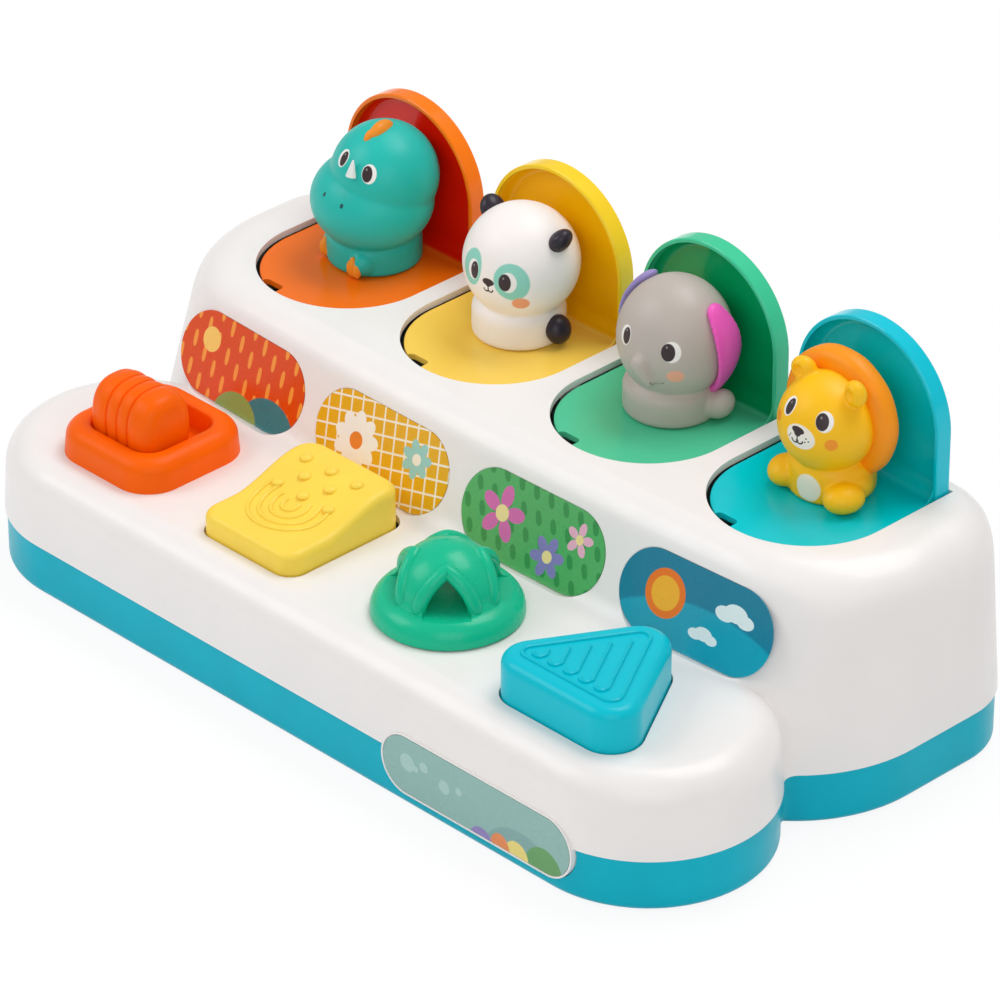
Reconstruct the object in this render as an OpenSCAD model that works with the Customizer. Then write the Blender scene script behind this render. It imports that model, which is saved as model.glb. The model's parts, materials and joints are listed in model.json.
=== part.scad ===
// Pop-up animal toy: a two-level housing with four flip-up lids that carry
// animal figures, four different buttons in front, and a latch lever for each.
// X runs across the toy, Y to its back, Z up. The origin is the centre of its underside.

/* [Housing] */
// Height of the front deck, where the buttons are
deck_h = 50; // [48:0.5:54]
// Height of the raised rear, where the lids are
rear_h = 88.9; // [86:0.1:108]
// Half of the overall length
rear_half = 178; // [174:1:214]
// Half of the overall depth
depth_half = 94; // [92:1:113]
// Wall of the upper housing
wall = 2.5; // [2:0.1:3]
// Height of the seam between the two shells
seam_h = 20.5; // [17:0.5:25]
// Radius of the deck's round ends
deck_end_r = 46.2; // [38:0.1:47]
// Radius of the rear's back corners
rear_back_r = 29.5; // [20:0.5:36]
// Radius of the rear's front corners
rear_front_r = 57; // [45:1:60]
// Lean of the rear's front wall, in degrees
front_lean = 20.7; // [15:0.1:23]
// Y of that wall at the height of the labels' centres
front_wall_y = -11.4; // [-14:0.1:-9]
// How far that wall bends back at the outer labels
front_bow = 3; // [0:0.1:4]
// Wall and floor of the bottom shell
shell_wall = 2.2; // [1.8:0.1:3]

/* [Pop-up units] */
// Distance between neighbouring units
pitch = 76; // [74:0.5:82]
// Half width of a lid
lid_half = 33.2; // [28:0.1:34]
// Height of an open lid above the rear's top
lid_rise = 56; // [54:0.1:57]
// Thickness of a lid from rim to back
lid_t = 7; // [6:0.1:8]
// Skin of a lid
lid_skin = 2; // [1.6:0.1:2.4]
// Y of an open lid's back face
lid_back_y = 81.5; // [80:0.1:82]
// Thickness of the tray that carries a figure
tray_t = 2.2; // [1.8:0.1:2.6]
// Depth of the tray's face below the rear's top
tray_drop = 1.8; // [1.4:0.1:2.4]
// Gap between a closed lid and the edge of its opening
lid_gap = 0.8; // [0.6:0.1:1]
// Radius of the hinge pins
pin_r = 2; // [1.6:0.1:2.4]

/* [Buttons] */
// Y of the buttons' row
button_y = -52; // [-53:0.1:-50]
// Width of the slider's bezel
bezel_w = 52.6; // [46:0.1:56]
// Height of the bezel's rim above the deck
bezel_h = 12; // [10:0.1:14]
// Radius of the ribbed slider
slider_r = 11.5; // [10:0.1:12]
// Travel of the slider
slider_travel = 9; // [7:0.5:9]
// Half width of the rocker key
key_half = 23.8; // [20:0.1:26]
// Height of the key's front edge above the deck
key_front_h = 8.5; // [7:0.1:11]
// Height of the key's back edge above the deck
key_back_h = 16; // [13:0.1:18]
// Radius of the rotary knob's flange
flange_r = 26.9; // [24:0.1:28]
// Radius of the rotary knob's dome
dome_r = 19; // [17:0.1:20]
// Height of the triangular button above the deck
tri_h = 16; // [12:0.5:20]
// Distance of its corner arcs from its centre
tri_d = 21.2; // [18:0.1:22]
// Radius of its corners
tri_r = 11; // [9:0.1:12]

/* [Labels] */
// Half length of a label on the rear's front wall
label_half = 33.8; // [28:0.1:35]
// Half height of that label
label_r = 15.5; // [13:0.1:16.5]
// Height of the labels' centres
label_z = 64.6; // [63:0.1:67]
// Half length of the label on the deck's front
tab_half = 45; // [35:1:46]
// Half height of that label
tab_r = 11; // [9:0.1:11.5]
// X of that label's centre
tab_x = 95; // [80:1:96]
// Height of that label's centre
tab_z = 17; // [15:0.1:18]
// Thickness of all labels
label_t = 0.5; // [0.3:0.1:0.6]

/* [Fits] */
// Running clearance of pins in their bores
pin_fit = 0.05; // [0.02:0.01:0.09]
// Gap between pieces that pass each other
pass_gap = 0.6; // [0.4:0.1:0.8]
// Gap between pieces that rest against each other
seat_gap = 0.3; // [0.2:0.05:0.4]

/* [Hidden] */
$fn = 64;
eps = 0.01;
UNITS = ["orange", "yellow", "green", "blue"];
FIGURES = ["dinosaur", "panda", "elephant", "lion"];
unit_x = [for (k = [0:3]) (k - 1.5) * pitch];
UNIT_COL = ["#ff6a00", "#ffd24d", "#3fb98a", "#00bcd4"];
WHITE = "#f3efec";
TEAL = "#00a9c0";

// Drafts of the walls and roundings of the housing's edges
rear_draft = tan(2.5);
deck_draft = tan(3);
end_round = 16;
back_round = 7;
front_round = 9;
inner_round = 4;
deck_round = 12;
deck_half = rear_half - 1.2;
bow_half = 1.5 * pitch;

// Lid and hinge: an open lid's back face and a closed lid's top face lie equally
// far from the hinge axis, so that the closed lid is flush with the rear's top.
hinge_c = lid_t - 0.2;
hinge_y = lid_back_y - hinge_c;
hinge_z = rear_h - hinge_c;
lid_top = rear_h + lid_rise;
lid_arc_z = lid_top - lid_half;
closed_arc_y = hinge_y - (lid_arc_z - hinge_z);
open_half = lid_half + lid_gap;
open_front = closed_arc_y - lid_half - 1;
open_arc_y = open_front + open_half;
open_back = lid_back_y + 0.9;
tray_half = lid_half - 0.6;
tray_arc_y = open_front + 1.4 + tray_half;
tray_z = rear_h - tray_drop;
lid_fillet = 6;
figure_y = 57;
coil_half = 8;
coil_r = 3.35;

// Latch levers: an upright with a nose, and an arm under the button.
lever_y = 8;
lever_z = 36;
lever_t = 2;
hub_r = 5;
hub_lo = -14;
hub_hi = 4;
nose_x = -10;
nose_top = rear_h - 4.5;
upright_y0 = lever_y - 0.8;
upright_y1 = lever_y + 2.2;
cheek_t = 4;
spring_y = -20;
spring_lo = 12;
slider_tilt = 4;

// Rocker pivot and rotary cam
key_pivot_y = button_y - 23;
key_pivot_z = deck_h - 5.5;
key_y0 = button_y - 25.4;
key_y1 = button_y + 29.4;
knob_y = button_y + 0.4;
cam_rise = 3;
cam_turn = 45;
tri_y = button_y - 4.6;

// Bracket that holds a lid's pin
bar_z0 = hinge_z - 22;
bar_z1 = hinge_z - 16;
cheek_lo = 24;
cheek_hi = 28;
slot_gap = 0.5;
post_y = hinge_y + 10.3;
post_dx = 14;

// Screws: shank, hole in a piece that they pass, seat of the housing's screws
screw_r = 1.35;
pass_r = screw_r + 0.35;
screw_seat = 14;
HOUSING_POSTS = [
    [28 - rear_half, 39 - depth_half], [rear_half - 28, 39 - depth_half], [0, 18 - depth_half],
    [15 - rear_half, 45], [rear_half - 15, 45], [0, 45]];
HOUSING_POST_R = [4.2, 4.2, 4.2, 4.2, 4.2, 3.6];

// ---- Outlines and helpers ----

// How far a rounding of radius r draws a wall in at height z under a top at height top
function inset(z, top, r) =
    z <= top - r ? 0 : r - sqrt(max(0, r * r - pow(z - (top - r), 2)));

function arc(cx, cy, r, a0, a1, n) =
    [for (i = [0:n]) let(a = a0 + (a1 - a0) * i / n) [cx + r * cos(a), cy + r * sin(a)]];

// Outline with two front and two back corner radii and a front that bends back by bow
function outline(half, front, back, rf, rb, bow) =
    let(fy = function(x) front + bow * pow(x / bow_half, 2), xe = half - rf, ye = fy(xe))
    concat(
        [for (i = [-4:3]) [xe * i / 4, fy(xe * i / 4)]],
        arc(xe, ye + rf, rf, -90, 0, 9),
        arc(half - rb, back - rb, rb, 0, 90, 9),
        arc(-half + rb, back - rb, rb, 90, 180, 9),
        arc(-xe, ye + rf, rf, 180, 269, 9));

function wall_front(z) = front_wall_y + (z - label_z) * tan(front_lean);

module slice(pts, z) {
    translate([0, 0, z]) linear_extrude(eps) polygon(pts);
}

// Raised rear, drawn in all round by t, its front edge rounded by front_r
module rear_body(t, z0, top, front_r) {
    hull() for (f = [0, 0.45, 0.76, 0.86, 0.92, 0.96, 0.985, 1]) {
        z = z0 + (top - z0 - eps) * f;
        half = rear_half - t - (z - seam_h) * rear_draft - inset(z, top, end_round);
        back = depth_half - t - (z - seam_h) * rear_draft - inset(z, top, back_round);
        front = wall_front(z) + t / cos(front_lean) + inset(z, top, front_r);
        rb = rear_back_r - t - inset(z, top, end_round) * 0.6;
        slice(outline(half, front, back, (rear_front_r - t) * (1 - 0.15 * f), rb, front_bow), z);
    }
}

module deck_body(t, z0, top) {
    hull() for (f = [0, 0.55, 0.7, 0.82, 0.91, 0.97, 1]) {
        z = z0 + (top - z0 - eps) * f;
        d = t + max(0, z - seam_h) * deck_draft + inset(z, top, deck_round);
        r = deck_end_r - d;
        slice(outline(deck_half - d, d - depth_half, 2 * deck_end_r - depth_half - d, r, r, 0), z);
    }
}

// Exact flat outline of both shells together, drawn in by t
module shell_outline(t) {
    r = deck_end_r - t;
    for (s = [-1, 1]) translate([s * (deck_half - deck_end_r), deck_end_r - depth_half]) circle(r);
    translate([deck_end_r - deck_half, t - depth_half]) square([2 * (deck_half - deck_end_r), 2 * r]);
    xf = rear_half - rear_front_r;
    yf = 26;
    xb = rear_half - rear_back_r;
    yb = depth_half - rear_back_r;
    for (s = [-1, 1]) {
        translate([s * xf, yf]) circle(rear_front_r - t);
        translate([s * xb, yb]) circle(rear_back_r - t);
    }
    translate([-xf, yf - rear_front_r + t]) square([2 * xf, depth_half + rear_front_r - yf - 2 * t]);
    translate([-xb, yf]) square([2 * xb, depth_half - yf - t]);
    translate([t - rear_half, yf]) square([2 * (rear_half - t), yb - yf]);
}

module capsule2d(half, r) {
    for (s = [-1, 1]) translate([s * (half - r), 0]) circle(r);
    translate([r - half, -r]) square([2 * (half - r), 2 * r]);
}

// A round bar along X
module xbar(x0, x1, r, y, z) {
    translate([x0, y, z]) rotate([0, 90, 0]) cylinder(r = r, h = x1 - x0);
}

module box(x0, x1, y0, y1, z0, z1) {
    translate([x0, y0, z0]) cube([x1 - x0, y1 - y0, z1 - z0]);
}

// Profile in the YZ plane, carried along X
module yz_prism(x0, x1, pts) {
    translate([x0, 0, 0]) rotate([90, 0, 90]) linear_extrude(x1 - x0) polygon(pts);
}

// Places children on the rear's front wall at unit k, with +Z out of the wall
module on_front_wall(k) {
    x = unit_x[k];
    y = front_wall_y + front_bow * pow(x / bow_half, 2);
    yaw = atan(2 * front_bow * x / pow(bow_half, 2));
    translate([x, y, label_z]) rotate([0, 0, yaw]) rotate([90 - front_lean, 0, 0]) children();
}

module on_deck_front() {
    translate([tab_x, -depth_half, tab_z]) rotate([90, 0, 0]) children();
}

// ---- Housing ----

module lid_opening(k) {
    translate([unit_x[k], 0, rear_h - front_round]) linear_extrude(20) {
        translate([0, open_arc_y]) circle(open_half);
        translate([-open_half, open_arc_y]) square([2 * open_half, open_back - open_arc_y]);
    }
}

module triangle2d(d, r) {
    polygon([for (a = [-150, -30, 90]) each arc(d * cos(a), d * sin(a), r, a - 60, a + 60, 12)]);
}

module round_square2d(wx, wy, r) {
    for (sx = [-1, 1]) for (sy = [-1, 1]) translate([sx * (wx / 2 - r), sy * (wy / 2 - r)]) circle(r);
    square([wx, wy - 2 * r], center = true);
    square([wx - 2 * r, wy], center = true);
}

module button_holes() {
    z = deck_h - wall - 4;
    translate([unit_x[0], button_y, z]) linear_extrude(20) square([30, 30], center = true);
    hole_half = key_half + pass_gap;
    box(unit_x[1] - hole_half, unit_x[1] + hole_half, key_y0 - pass_gap, key_y1 + 1.6, z, z + 20);
    translate([unit_x[2], knob_y, z]) cylinder(r = 14.5, h = 20);
    translate([unit_x[3], tri_y, z]) linear_extrude(20) triangle2d(tri_d, tri_r + pass_gap);
}

// Lugs under the deck that hold the rocker key's trunnions
module key_lugs() {
    for (s = [-1, 1]) {
        x = unit_x[1] + s * (key_half + 3.6) - 1.75;
        difference() {
            box(x, x + 3.5, key_pivot_y - 4, key_pivot_y + 4, key_pivot_z - 4, deck_h - wall + 0.5);
            xbar(x - 1, x + 5, pin_r + pin_fit, key_pivot_y, key_pivot_z);
        }
    }
}

module top_posts() {
    for (i = [0:5]) {
        top = i < 3 ? deck_h - 1 : i < 5 ? rear_h - 4 : rear_h - 1;
        translate([HOUSING_POSTS[i][0], HOUSING_POSTS[i][1], seam_h])
            cylinder(r = HOUSING_POST_R[i], h = top - seam_h);
    }
    for (k = [0:3]) for (s = [-1, 1])
        translate([unit_x[k] + s * post_dx, post_y, bar_z1]) cylinder(r = 2.8, h = rear_h - 1 - bar_z1);
}

module top_housing() {
    color(WHITE) difference() {
        union() {
            difference() {
                union() {
                    deck_body(0, seam_h, deck_h);
                    rear_body(0, seam_h, rear_h, front_round);
                }
                translate([0, 0, -1]) deck_body(wall, seam_h, deck_h - wall + 1);
                translate([0, 0, -1]) rear_body(wall, seam_h, rear_h - wall + 1, inner_round);
            }
            top_posts();
            key_lugs();
            on_deck_front() translate([0, 0, -wall]) linear_extrude(wall) capsule2d(tab_half + 1, tab_r + 1);
        }
        for (k = [0:3]) {
            lid_opening(k);
            on_front_wall(k) translate([0, 0, -label_t - 0.05]) linear_extrude(5)
                capsule2d(label_half + 0.3, label_r + 0.3);
        }
        on_deck_front() translate([0, 0, -label_t - 0.05]) linear_extrude(5)
            capsule2d(tab_half + 0.3, tab_r + 0.3);
        button_holes();
        for (p = HOUSING_POSTS) translate([p[0], p[1], seam_h - 1]) cylinder(r = screw_r + pin_fit, h = 18);
        for (k = [0:3]) for (s = [-1, 1])
            translate([unit_x[k] + s * post_dx, post_y, bar_z1 - 1]) cylinder(r = screw_r + pin_fit, h = 14);
    }
}

module latch_lugs(k) {
    for (x0 = [hub_lo - 0.5 - cheek_t, hub_hi + 0.5]) translate([unit_x[k], 0, 0]) {
        box(x0, x0 + cheek_t, lever_y - hub_r, lever_y + hub_r, 1, lever_z);
        xbar(x0, x0 + cheek_t, hub_r, lever_y, lever_z);
    }
    translate([unit_x[k], spring_y, 1]) cylinder(r = 5.5, h = spring_lo - 1);
    translate([unit_x[k], spring_y, 1]) cylinder(r = 2.6, h = spring_lo + 3);
}

module bottom_shell() {
    t0 = 0.8;
    color(TEAL) difference() {
        union() {
            difference() {
                linear_extrude(seam_h) shell_outline(t0);
                translate([0, 0, shell_wall]) linear_extrude(seam_h) shell_outline(t0 + shell_wall);
            }
            for (i = [0:5]) translate([HOUSING_POSTS[i][0], HOUSING_POSTS[i][1], 0])
                cylinder(r = 5, h = seam_h);
            for (k = [0:3]) latch_lugs(k);
        }
        on_deck_front() translate([0, 0, -4]) linear_extrude(5) capsule2d(tab_half + 1.3, tab_r + 1.3);
        for (p = HOUSING_POSTS) translate([p[0], p[1], -1]) {
            cylinder(r = 3.5, h = screw_seat + 1);
            cylinder(r = pass_r, h = 30);
        }
        for (k = [0:3]) xbar(unit_x[k] - 30, unit_x[k] + 30, pin_r + pin_fit / 2, lever_y, lever_z);
    }
}

// Pan-head screw that points up, with its head's seat at z = 0
module screw(head_r, head_h, length) {
    difference() {
        translate([0, 0, -head_h]) cylinder(r = head_r, h = head_h);
        for (a = [0, 90]) rotate([0, 0, a])
            translate([0, 0, -head_h]) cube([head_r * 1.2, 0.8, head_h * 1.1], center = true);
    }
    cylinder(r = screw_r, h = length);
}

module housing_screws() {
    color("#b8bcc0") for (p = HOUSING_POSTS) translate([p[0], p[1], screw_seat]) screw(3, 2, 18);
}

module bracket_screws() {
    color("#b8bcc0") for (k = [0:3]) for (s = [-1, 1])
        translate([unit_x[k] + s * post_dx, post_y, bar_z0]) screw(2.4, 1.6, 16);
}

module wall_label(k) {
    color(UNIT_COL[k]) on_front_wall(k) translate([0, 0, -label_t]) linear_extrude(label_t)
        capsule2d(label_half, label_r);
}

module front_label() {
    color("#a8d5d2") on_deck_front() translate([0, 0, -label_t]) linear_extrude(label_t)
        capsule2d(tab_half, tab_r);
}

// ---- Lids and hinges ----

module lid(k) {
    skin_half = lid_half - lid_skin;
    color(UNIT_COL[k]) translate([unit_x[k], 0, 0]) difference() {
        union() {
            difference() {
                translate([0, lid_back_y, 0]) rotate([90, 0, 0]) linear_extrude(lid_t) {
                    translate([0, lid_arc_z]) circle(lid_half);
                    translate([-lid_half, hinge_z]) square([2 * lid_half, lid_arc_z - hinge_z]);
                }
                translate([0, lid_back_y - lid_skin, 0]) rotate([90, 0, 0]) linear_extrude(lid_t) {
                    translate([0, lid_arc_z]) circle(skin_half);
                    translate([-skin_half, tray_z]) square([2 * skin_half, lid_arc_z - tray_z]);
                }
            }
            // tray
            translate([0, 0, tray_z - tray_t]) linear_extrude(tray_t) {
                translate([0, tray_arc_y]) circle(tray_half);
                translate([-tray_half, tray_arc_y]) square([2 * tray_half, hinge_y - tray_arc_y]);
            }
            // hinge barrel, cut level with the tray
            intersection() {
                xbar(-lid_half, lid_half, hinge_c, hinge_y, hinge_z);
                box(-40, 40, hinge_y - 10, hinge_y + 10, hinge_z - 10, tray_z);
            }
            // blend between the tray and the lid
            difference() {
                box(-lid_half + 1, lid_half - 1, lid_back_y - lid_skin - lid_fillet,
                    lid_back_y - lid_skin + 0.5, tray_z - 1, tray_z + lid_fillet);
                xbar(-40, 40, lid_fillet, lid_back_y - lid_skin - lid_fillet, tray_z + lid_fillet);
            }
        }
        // pin bore and the coil's room
        xbar(-cheek_hi - slot_gap, cheek_hi + slot_gap, pin_r + pin_fit, hinge_y, hinge_z);
        xbar(-coil_half - 1, coil_half + 1, coil_r + 0.35, hinge_y, hinge_z);
        box(-coil_half - 1, coil_half + 1, hinge_y - 9, hinge_y + 9, hinge_z - 9, hinge_z + 0.8);
        // room for the bracket's cheeks
        for (s = [-1, 1]) {
            xc = s * (cheek_lo + cheek_hi) / 2;
            w = (cheek_hi - cheek_lo) / 2 + slot_gap;
            xbar(xc - w, xc + w, 4.15, hinge_y, hinge_z);
            box(xc - w, xc + w, hinge_y - 9, hinge_y + 9, hinge_z - 9, hinge_z + 0.8);
        }
        // notch for the latch's nose, and the figure's screw hole
        box(nose_x - 4.8, nose_x + 4.8, open_front - 1, open_front + 7, tray_z - 6, tray_z + 1);
        translate([0, figure_y, tray_z - 6]) cylinder(r = pass_r, h = 8);
    }
}

module hinge_bracket(k) {
    y1 = post_y + 2.8;
    color("#e4e2de") translate([unit_x[k], 0, 0]) difference() {
        union() {
            box(-32, 32, hinge_y + 1.3, y1, bar_z0, bar_z1);
            for (s = [-1, 1]) {
                x0 = s > 0 ? cheek_lo : -cheek_hi;
                xbar(x0, x0 + cheek_hi - cheek_lo, 3.8, hinge_y, hinge_z);
                yz_prism(x0, x0 + cheek_hi - cheek_lo, [
                    [hinge_y + 0.3, hinge_z - 1], [hinge_y + 0.3, hinge_z - 6], [hinge_y + 1.3, bar_z0 + 1],
                    [hinge_y + 9, bar_z0 + 1], [hinge_y + 9, bar_z1], [hinge_y + 3.8, hinge_z - 5],
                    [hinge_y + 3.8, hinge_z - 0.5]]);
            }
        }
        xbar(-30, 30, pin_r + pin_fit / 2, hinge_y, hinge_z);
        for (s = [-1, 1]) translate([s * post_dx, post_y, bar_z0 - 1]) cylinder(r = pass_r, h = 20);
    }
}

module hinge_pin(k) {
    color("#c9ccd0") xbar(unit_x[k] - cheek_hi, unit_x[k] + cheek_hi, pin_r, hinge_y, hinge_z);
}

// Envelope of the torsion coil round the pin, with the leg that rests on the bracket
module lid_spring(k) {
    color("#9aa0a6") translate([unit_x[k], 0, 0]) {
        difference() {
            xbar(-coil_half, coil_half, coil_r, hinge_y, hinge_z);
            xbar(-coil_half - 1, coil_half + 1, coil_r - 0.9, hinge_y, hinge_z);
        }
        for (x = [0.5 - coil_half, coil_half - 1.3])
            box(x, x + 0.8, hinge_y + 2.5, hinge_y + 3.3, bar_z1 + 0.1, hinge_z);
    }
}

// ---- Figures ----

module ball(x, y, z, r) {
    translate([x, y, z]) sphere(r);
}

module figure_place(k) {
    translate([unit_x[k], 0, tray_z]) children();
}

module figure_base(r, h) {
    translate([0, figure_y - 0.2, 0]) rotate_extrude() polygon(concat(
        [[0, 0], [r - 1.5, 0]], arc(r - 4, h * 0.45, 4, -45, 60, 6), [[r - 4, h], [0, h]]));
}

module figure_bore() {
    translate([0, figure_y, -1]) cylinder(r = screw_r + pin_fit, h = 11);
}

module dinosaur() {
    color("#2fb9b3") figure_place(0) difference() {
        union() {
            figure_base(15.5, 14);
            ball(1, 58.6, 31, 19);
            translate([0.5, 56, 20.4]) rotate_extrude() polygon(concat(
                arc(7.5, 0, 14.2, -90, 90, 14), [[0, 14.2], [0, -14.2]]));
            for (s = [-1, 1]) ball(s * 10, 45, 5.5, 5);
            translate([1, 52, 47]) rotate([20, 0, 0]) cylinder(r1 = 5, r2 = 1.5, h = 6);
        }
        figure_bore();
    }
}

module panda() {
    color("#f1ebe4") figure_place(1) difference() {
        union() {
            figure_base(16.5, 14);
            ball(1, 56.3, 27, 21.6);
            for (s = [-1, 1]) ball(1 + s * 16.5, 58, 43, 5.2);
            for (s = [-1, 1]) ball(s * 17, 57, 8.5, 5);
        }
        figure_bore();
    }
}

module elephant() {
    color("#a39c98") figure_place(2) difference() {
        union() {
            figure_base(16.8, 14);
            ball(1, 56.5, 31, 20.4);
            ball(1, 56.5, 27, 20.4);
            ball(1, 36.5, 23.5, 3.4);
            for (s = [-1, 1]) translate([1 + s * 20, 62, 29]) rotate([0, s * 8, s * 38])
                rotate([0, 90, 0]) cylinder(r = 12.5, h = 3.2, center = true);
            for (s = [-1, 1]) ball(s * 17.5, 56, 6.5, 4.6);
        }
        figure_bore();
    }
}

module lion() {
    color("#f7b500") figure_place(3) difference() {
        union() {
            figure_base(15, 14);
            ball(2, 54, 27.5, 18);
            translate([2, 73, 28.7]) rotate([90, 3, 0]) cylinder(r = 21.3, h = 11.3);
            for (s = [-1, 1]) ball(2 + s * 15, 56.3, 42, 5);
            for (s = [-1, 1]) ball(1 + s * 15.5, 45.5, 5.4, 5.2);
            for (s = [-1, 1]) ball(1 + s * 13.6, 50.5, 5.6, 5);
        }
        figure_bore();
    }
}

module figure_screw(k) {
    color("#b8bcc0") translate([unit_x[k], figure_y, tray_z - tray_t]) screw(2.4, 1.2, 11);
}

// ---- Latches ----

module latch_blank(arm_y) {
    xbar(hub_lo, hub_hi, hub_r - 0.5, lever_y, lever_z);
    // upright and nose
    box(nose_x - 4, nose_x + 4, upright_y0, upright_y1, lever_z, nose_top);
    difference() {
        box(nose_x - 4, nose_x + 4, upright_y0, open_front + 6, nose_top - 2.6, nose_top);
        translate([0, closed_arc_y, nose_top - 5]) cylinder(r = lid_half + 0.75, h = 10);
    }
    // arm under the button
    box(-4, 4, arm_y, lever_y, lever_z - lever_t, lever_z + lever_t);
}

module latch(k) {
    arm_end = k == 1 ? button_y + 4 : k == 2 ? button_y + 11 : button_y - 5;
    color("#f4f4f2") difference() {
        translate([unit_x[k], 0, 0]) {
            latch_blank(arm_end);
            if (k == 0) xbar(-4, 4, 1.5, button_y, lever_z + lever_t);
        }
        xbar(unit_x[k] - 20, unit_x[k] + 20, pin_r + pin_fit, lever_y, lever_z);
    }
}

module latch_pin(k) {
    color("#c9ccd0") xbar(unit_x[k] + hub_lo - 0.5 - cheek_t, unit_x[k] + hub_hi + 0.5 + cheek_t,
        pin_r, lever_y, lever_z);
}

// Envelope of the coil spring under the latch's arm
module latch_spring(k) {
    z1 = lever_z - lever_t - 0.1;
    color("#9aa0a6") translate([unit_x[k], spring_y, spring_lo]) difference() {
        cylinder(r = 4, h = z1 - spring_lo);
        translate([0, 0, -1]) cylinder(r = 3, h = z1 - spring_lo + 2);
    }
}

// ---- Buttons ----

module slider_bezel() {
    rim = deck_h + bezel_h;
    color("#ff5a00") translate([unit_x[0], button_y, 0]) difference() {
        union() {
            translate([0, 0, deck_h]) linear_extrude(bezel_h - 3) round_square2d(bezel_w, bezel_w, 14);
            translate([0, 0, rim - 3]) linear_extrude(3) round_square2d(bezel_w - 3, bezel_w - 3, 12.5);
            translate([0, 0, deck_h - wall - 0.2]) linear_extrude(4) square([29.4, 29.4], center = true);
        }
        translate([0, 0, deck_h + 3]) linear_extrude(bezel_h) round_square2d(35, 34.4, 8);
        box(-4, 4, -11, 11 - 2.4, deck_h - 8, deck_h + 8);
    }
}

module slider_knob() {
    x = unit_x[0];
    cy = button_y - 5;
    cz = deck_h + 13;
    foot_z = lever_z + lever_t + 2.1;
    slope = (lever_y - button_y) * sin(slider_tilt) / slider_travel;
    color("#ff6a00") {
        difference() {
            translate([x - 15.5, cy, cz]) rotate([0, 90, 0]) rotate_extrude() polygon(concat(
                [[0, 0], [slider_r - 3.5, 0]],
                [for (i = [0:24]) let(t = i / 24) [slider_r - 1.3 * pow(cos(t * 4 * 180), 2), 1.5 + 28 * t]],
                [[slider_r - 3.5, 31], [0, 31]]));
            box(x - 20, x + 20, cy - 20, cy + 20, 0, deck_h + 3.4);
        }
        box(x - 3, x + 3, cy - 3.5, cy + 3.5, deck_h - 6, cz);
        yz_prism(x - 5, x + 5, [
            [cy + 8, deck_h - 5.5], [cy - 12, deck_h - 5.5],
            [cy - 12, foot_z - 7 * slope], [cy + 5, foot_z], [cy + 8, foot_z]]);
    }
}

module rocker_key() {
    x = unit_x[1];
    z0 = deck_h - 4.5;
    zf = deck_h + key_front_h;
    zb = deck_h + key_back_h;
    post_y1 = button_y + 8;
    color("#ffd97a") {
        difference() {
            yz_prism(x - key_half, x + key_half, [
                [key_y0, z0], [key_y1, z0], [key_y1, zb - 4], [key_y1 - 4, zb], [key_y1 - 12, zb],
                [key_y0 + 22, zf + 1.5], [key_y0 + 3, zf], [key_y0, zf - 3]]);
            yz_prism(x - key_half + 2.2, x + key_half - 2.2, [
                [key_y0 + 7, z0 - 1], [key_y1 - 2.2, z0 - 1], [key_y1 - 2.2, zb - 6], [key_y1 - 12, zb - 3],
                [key_y0 + 22, zf - 1.5], [key_y0 + 7, zf - 2.5]]);
        }
        for (s = [-1, 1]) xbar(x + s * key_half - 3.5 + s * 1.6, x + s * key_half + 3.5 + s * 1.6,
            pin_r, key_pivot_y, key_pivot_z);
        for (s = [-1, 1]) box(x + s * (key_half - 3) - 3, x + s * (key_half - 3) + 3,
            key_y0, key_pivot_y + 4, key_pivot_z - 3, z0 + 2);
        box(x - 10, x + 10, key_y1 - 2.2, key_y1 + 3.2, z0, deck_h - wall - pass_gap);
        box(x - 3.5, x + 3.5, post_y1 - 2, post_y1 + 2, lever_z + lever_t + 2.4, zf + 3.2);
        xbar(x - 3.5, x + 3.5, 2, post_y1, lever_z + lever_t + 2.4);
    }
}

// Pointed-arch window, drawn upright in a plane
module arch2d(half, h) {
    intersection() {
        translate([-half, 0]) circle(2 * half);
        translate([half, 0]) circle(2 * half);
        translate([-half, -0.01]) square([2 * half, h]);
    }
}

module rotary_knob() {
    zc = deck_h + 9.5;
    color("#2fb080") translate([unit_x[2], knob_y, 0]) difference() {
        union() {
            rotate_extrude() polygon(concat(
                [[0, deck_h + seat_gap], [flange_r, deck_h + seat_gap]],
                arc(flange_r - 7.5, deck_h + 1.8, 7.5, 0, 90, 8), [[0, deck_h + 9.3]]));
            ball(0, 0, zc, dome_r);
            translate([0, 0, deck_h - 9]) cylinder(r = 10, h = 10);
            translate([0, 0, deck_h - wall - 0.3]) cylinder(r = 14, h = wall + 1);
        }
        difference() {
            ball(0, 0, zc, dome_r - 2.4);
            box(-30, 30, -30, 30, 0, deck_h + 7.4);
        }
        // the flange's underside stays above the deck
        difference() {
            translate([0, 0, deck_h - 20]) cylinder(r = 40, h = 20 + seat_gap);
            translate([0, 0, deck_h - 21]) cylinder(r = 14, h = 30);
        }
        translate([0, 0, deck_h - wall - 20.3]) difference() {
            cylinder(r = 40, h = 20);
            cylinder(r = 10, h = 40);
        }
        for (a = [45, 135, 225, 315]) rotate([0, 0, a]) translate([0, 0, deck_h + 7.4])
            rotate([90, 0, 90]) linear_extrude(40) arch2d(8.2, 30);
    }
}

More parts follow.
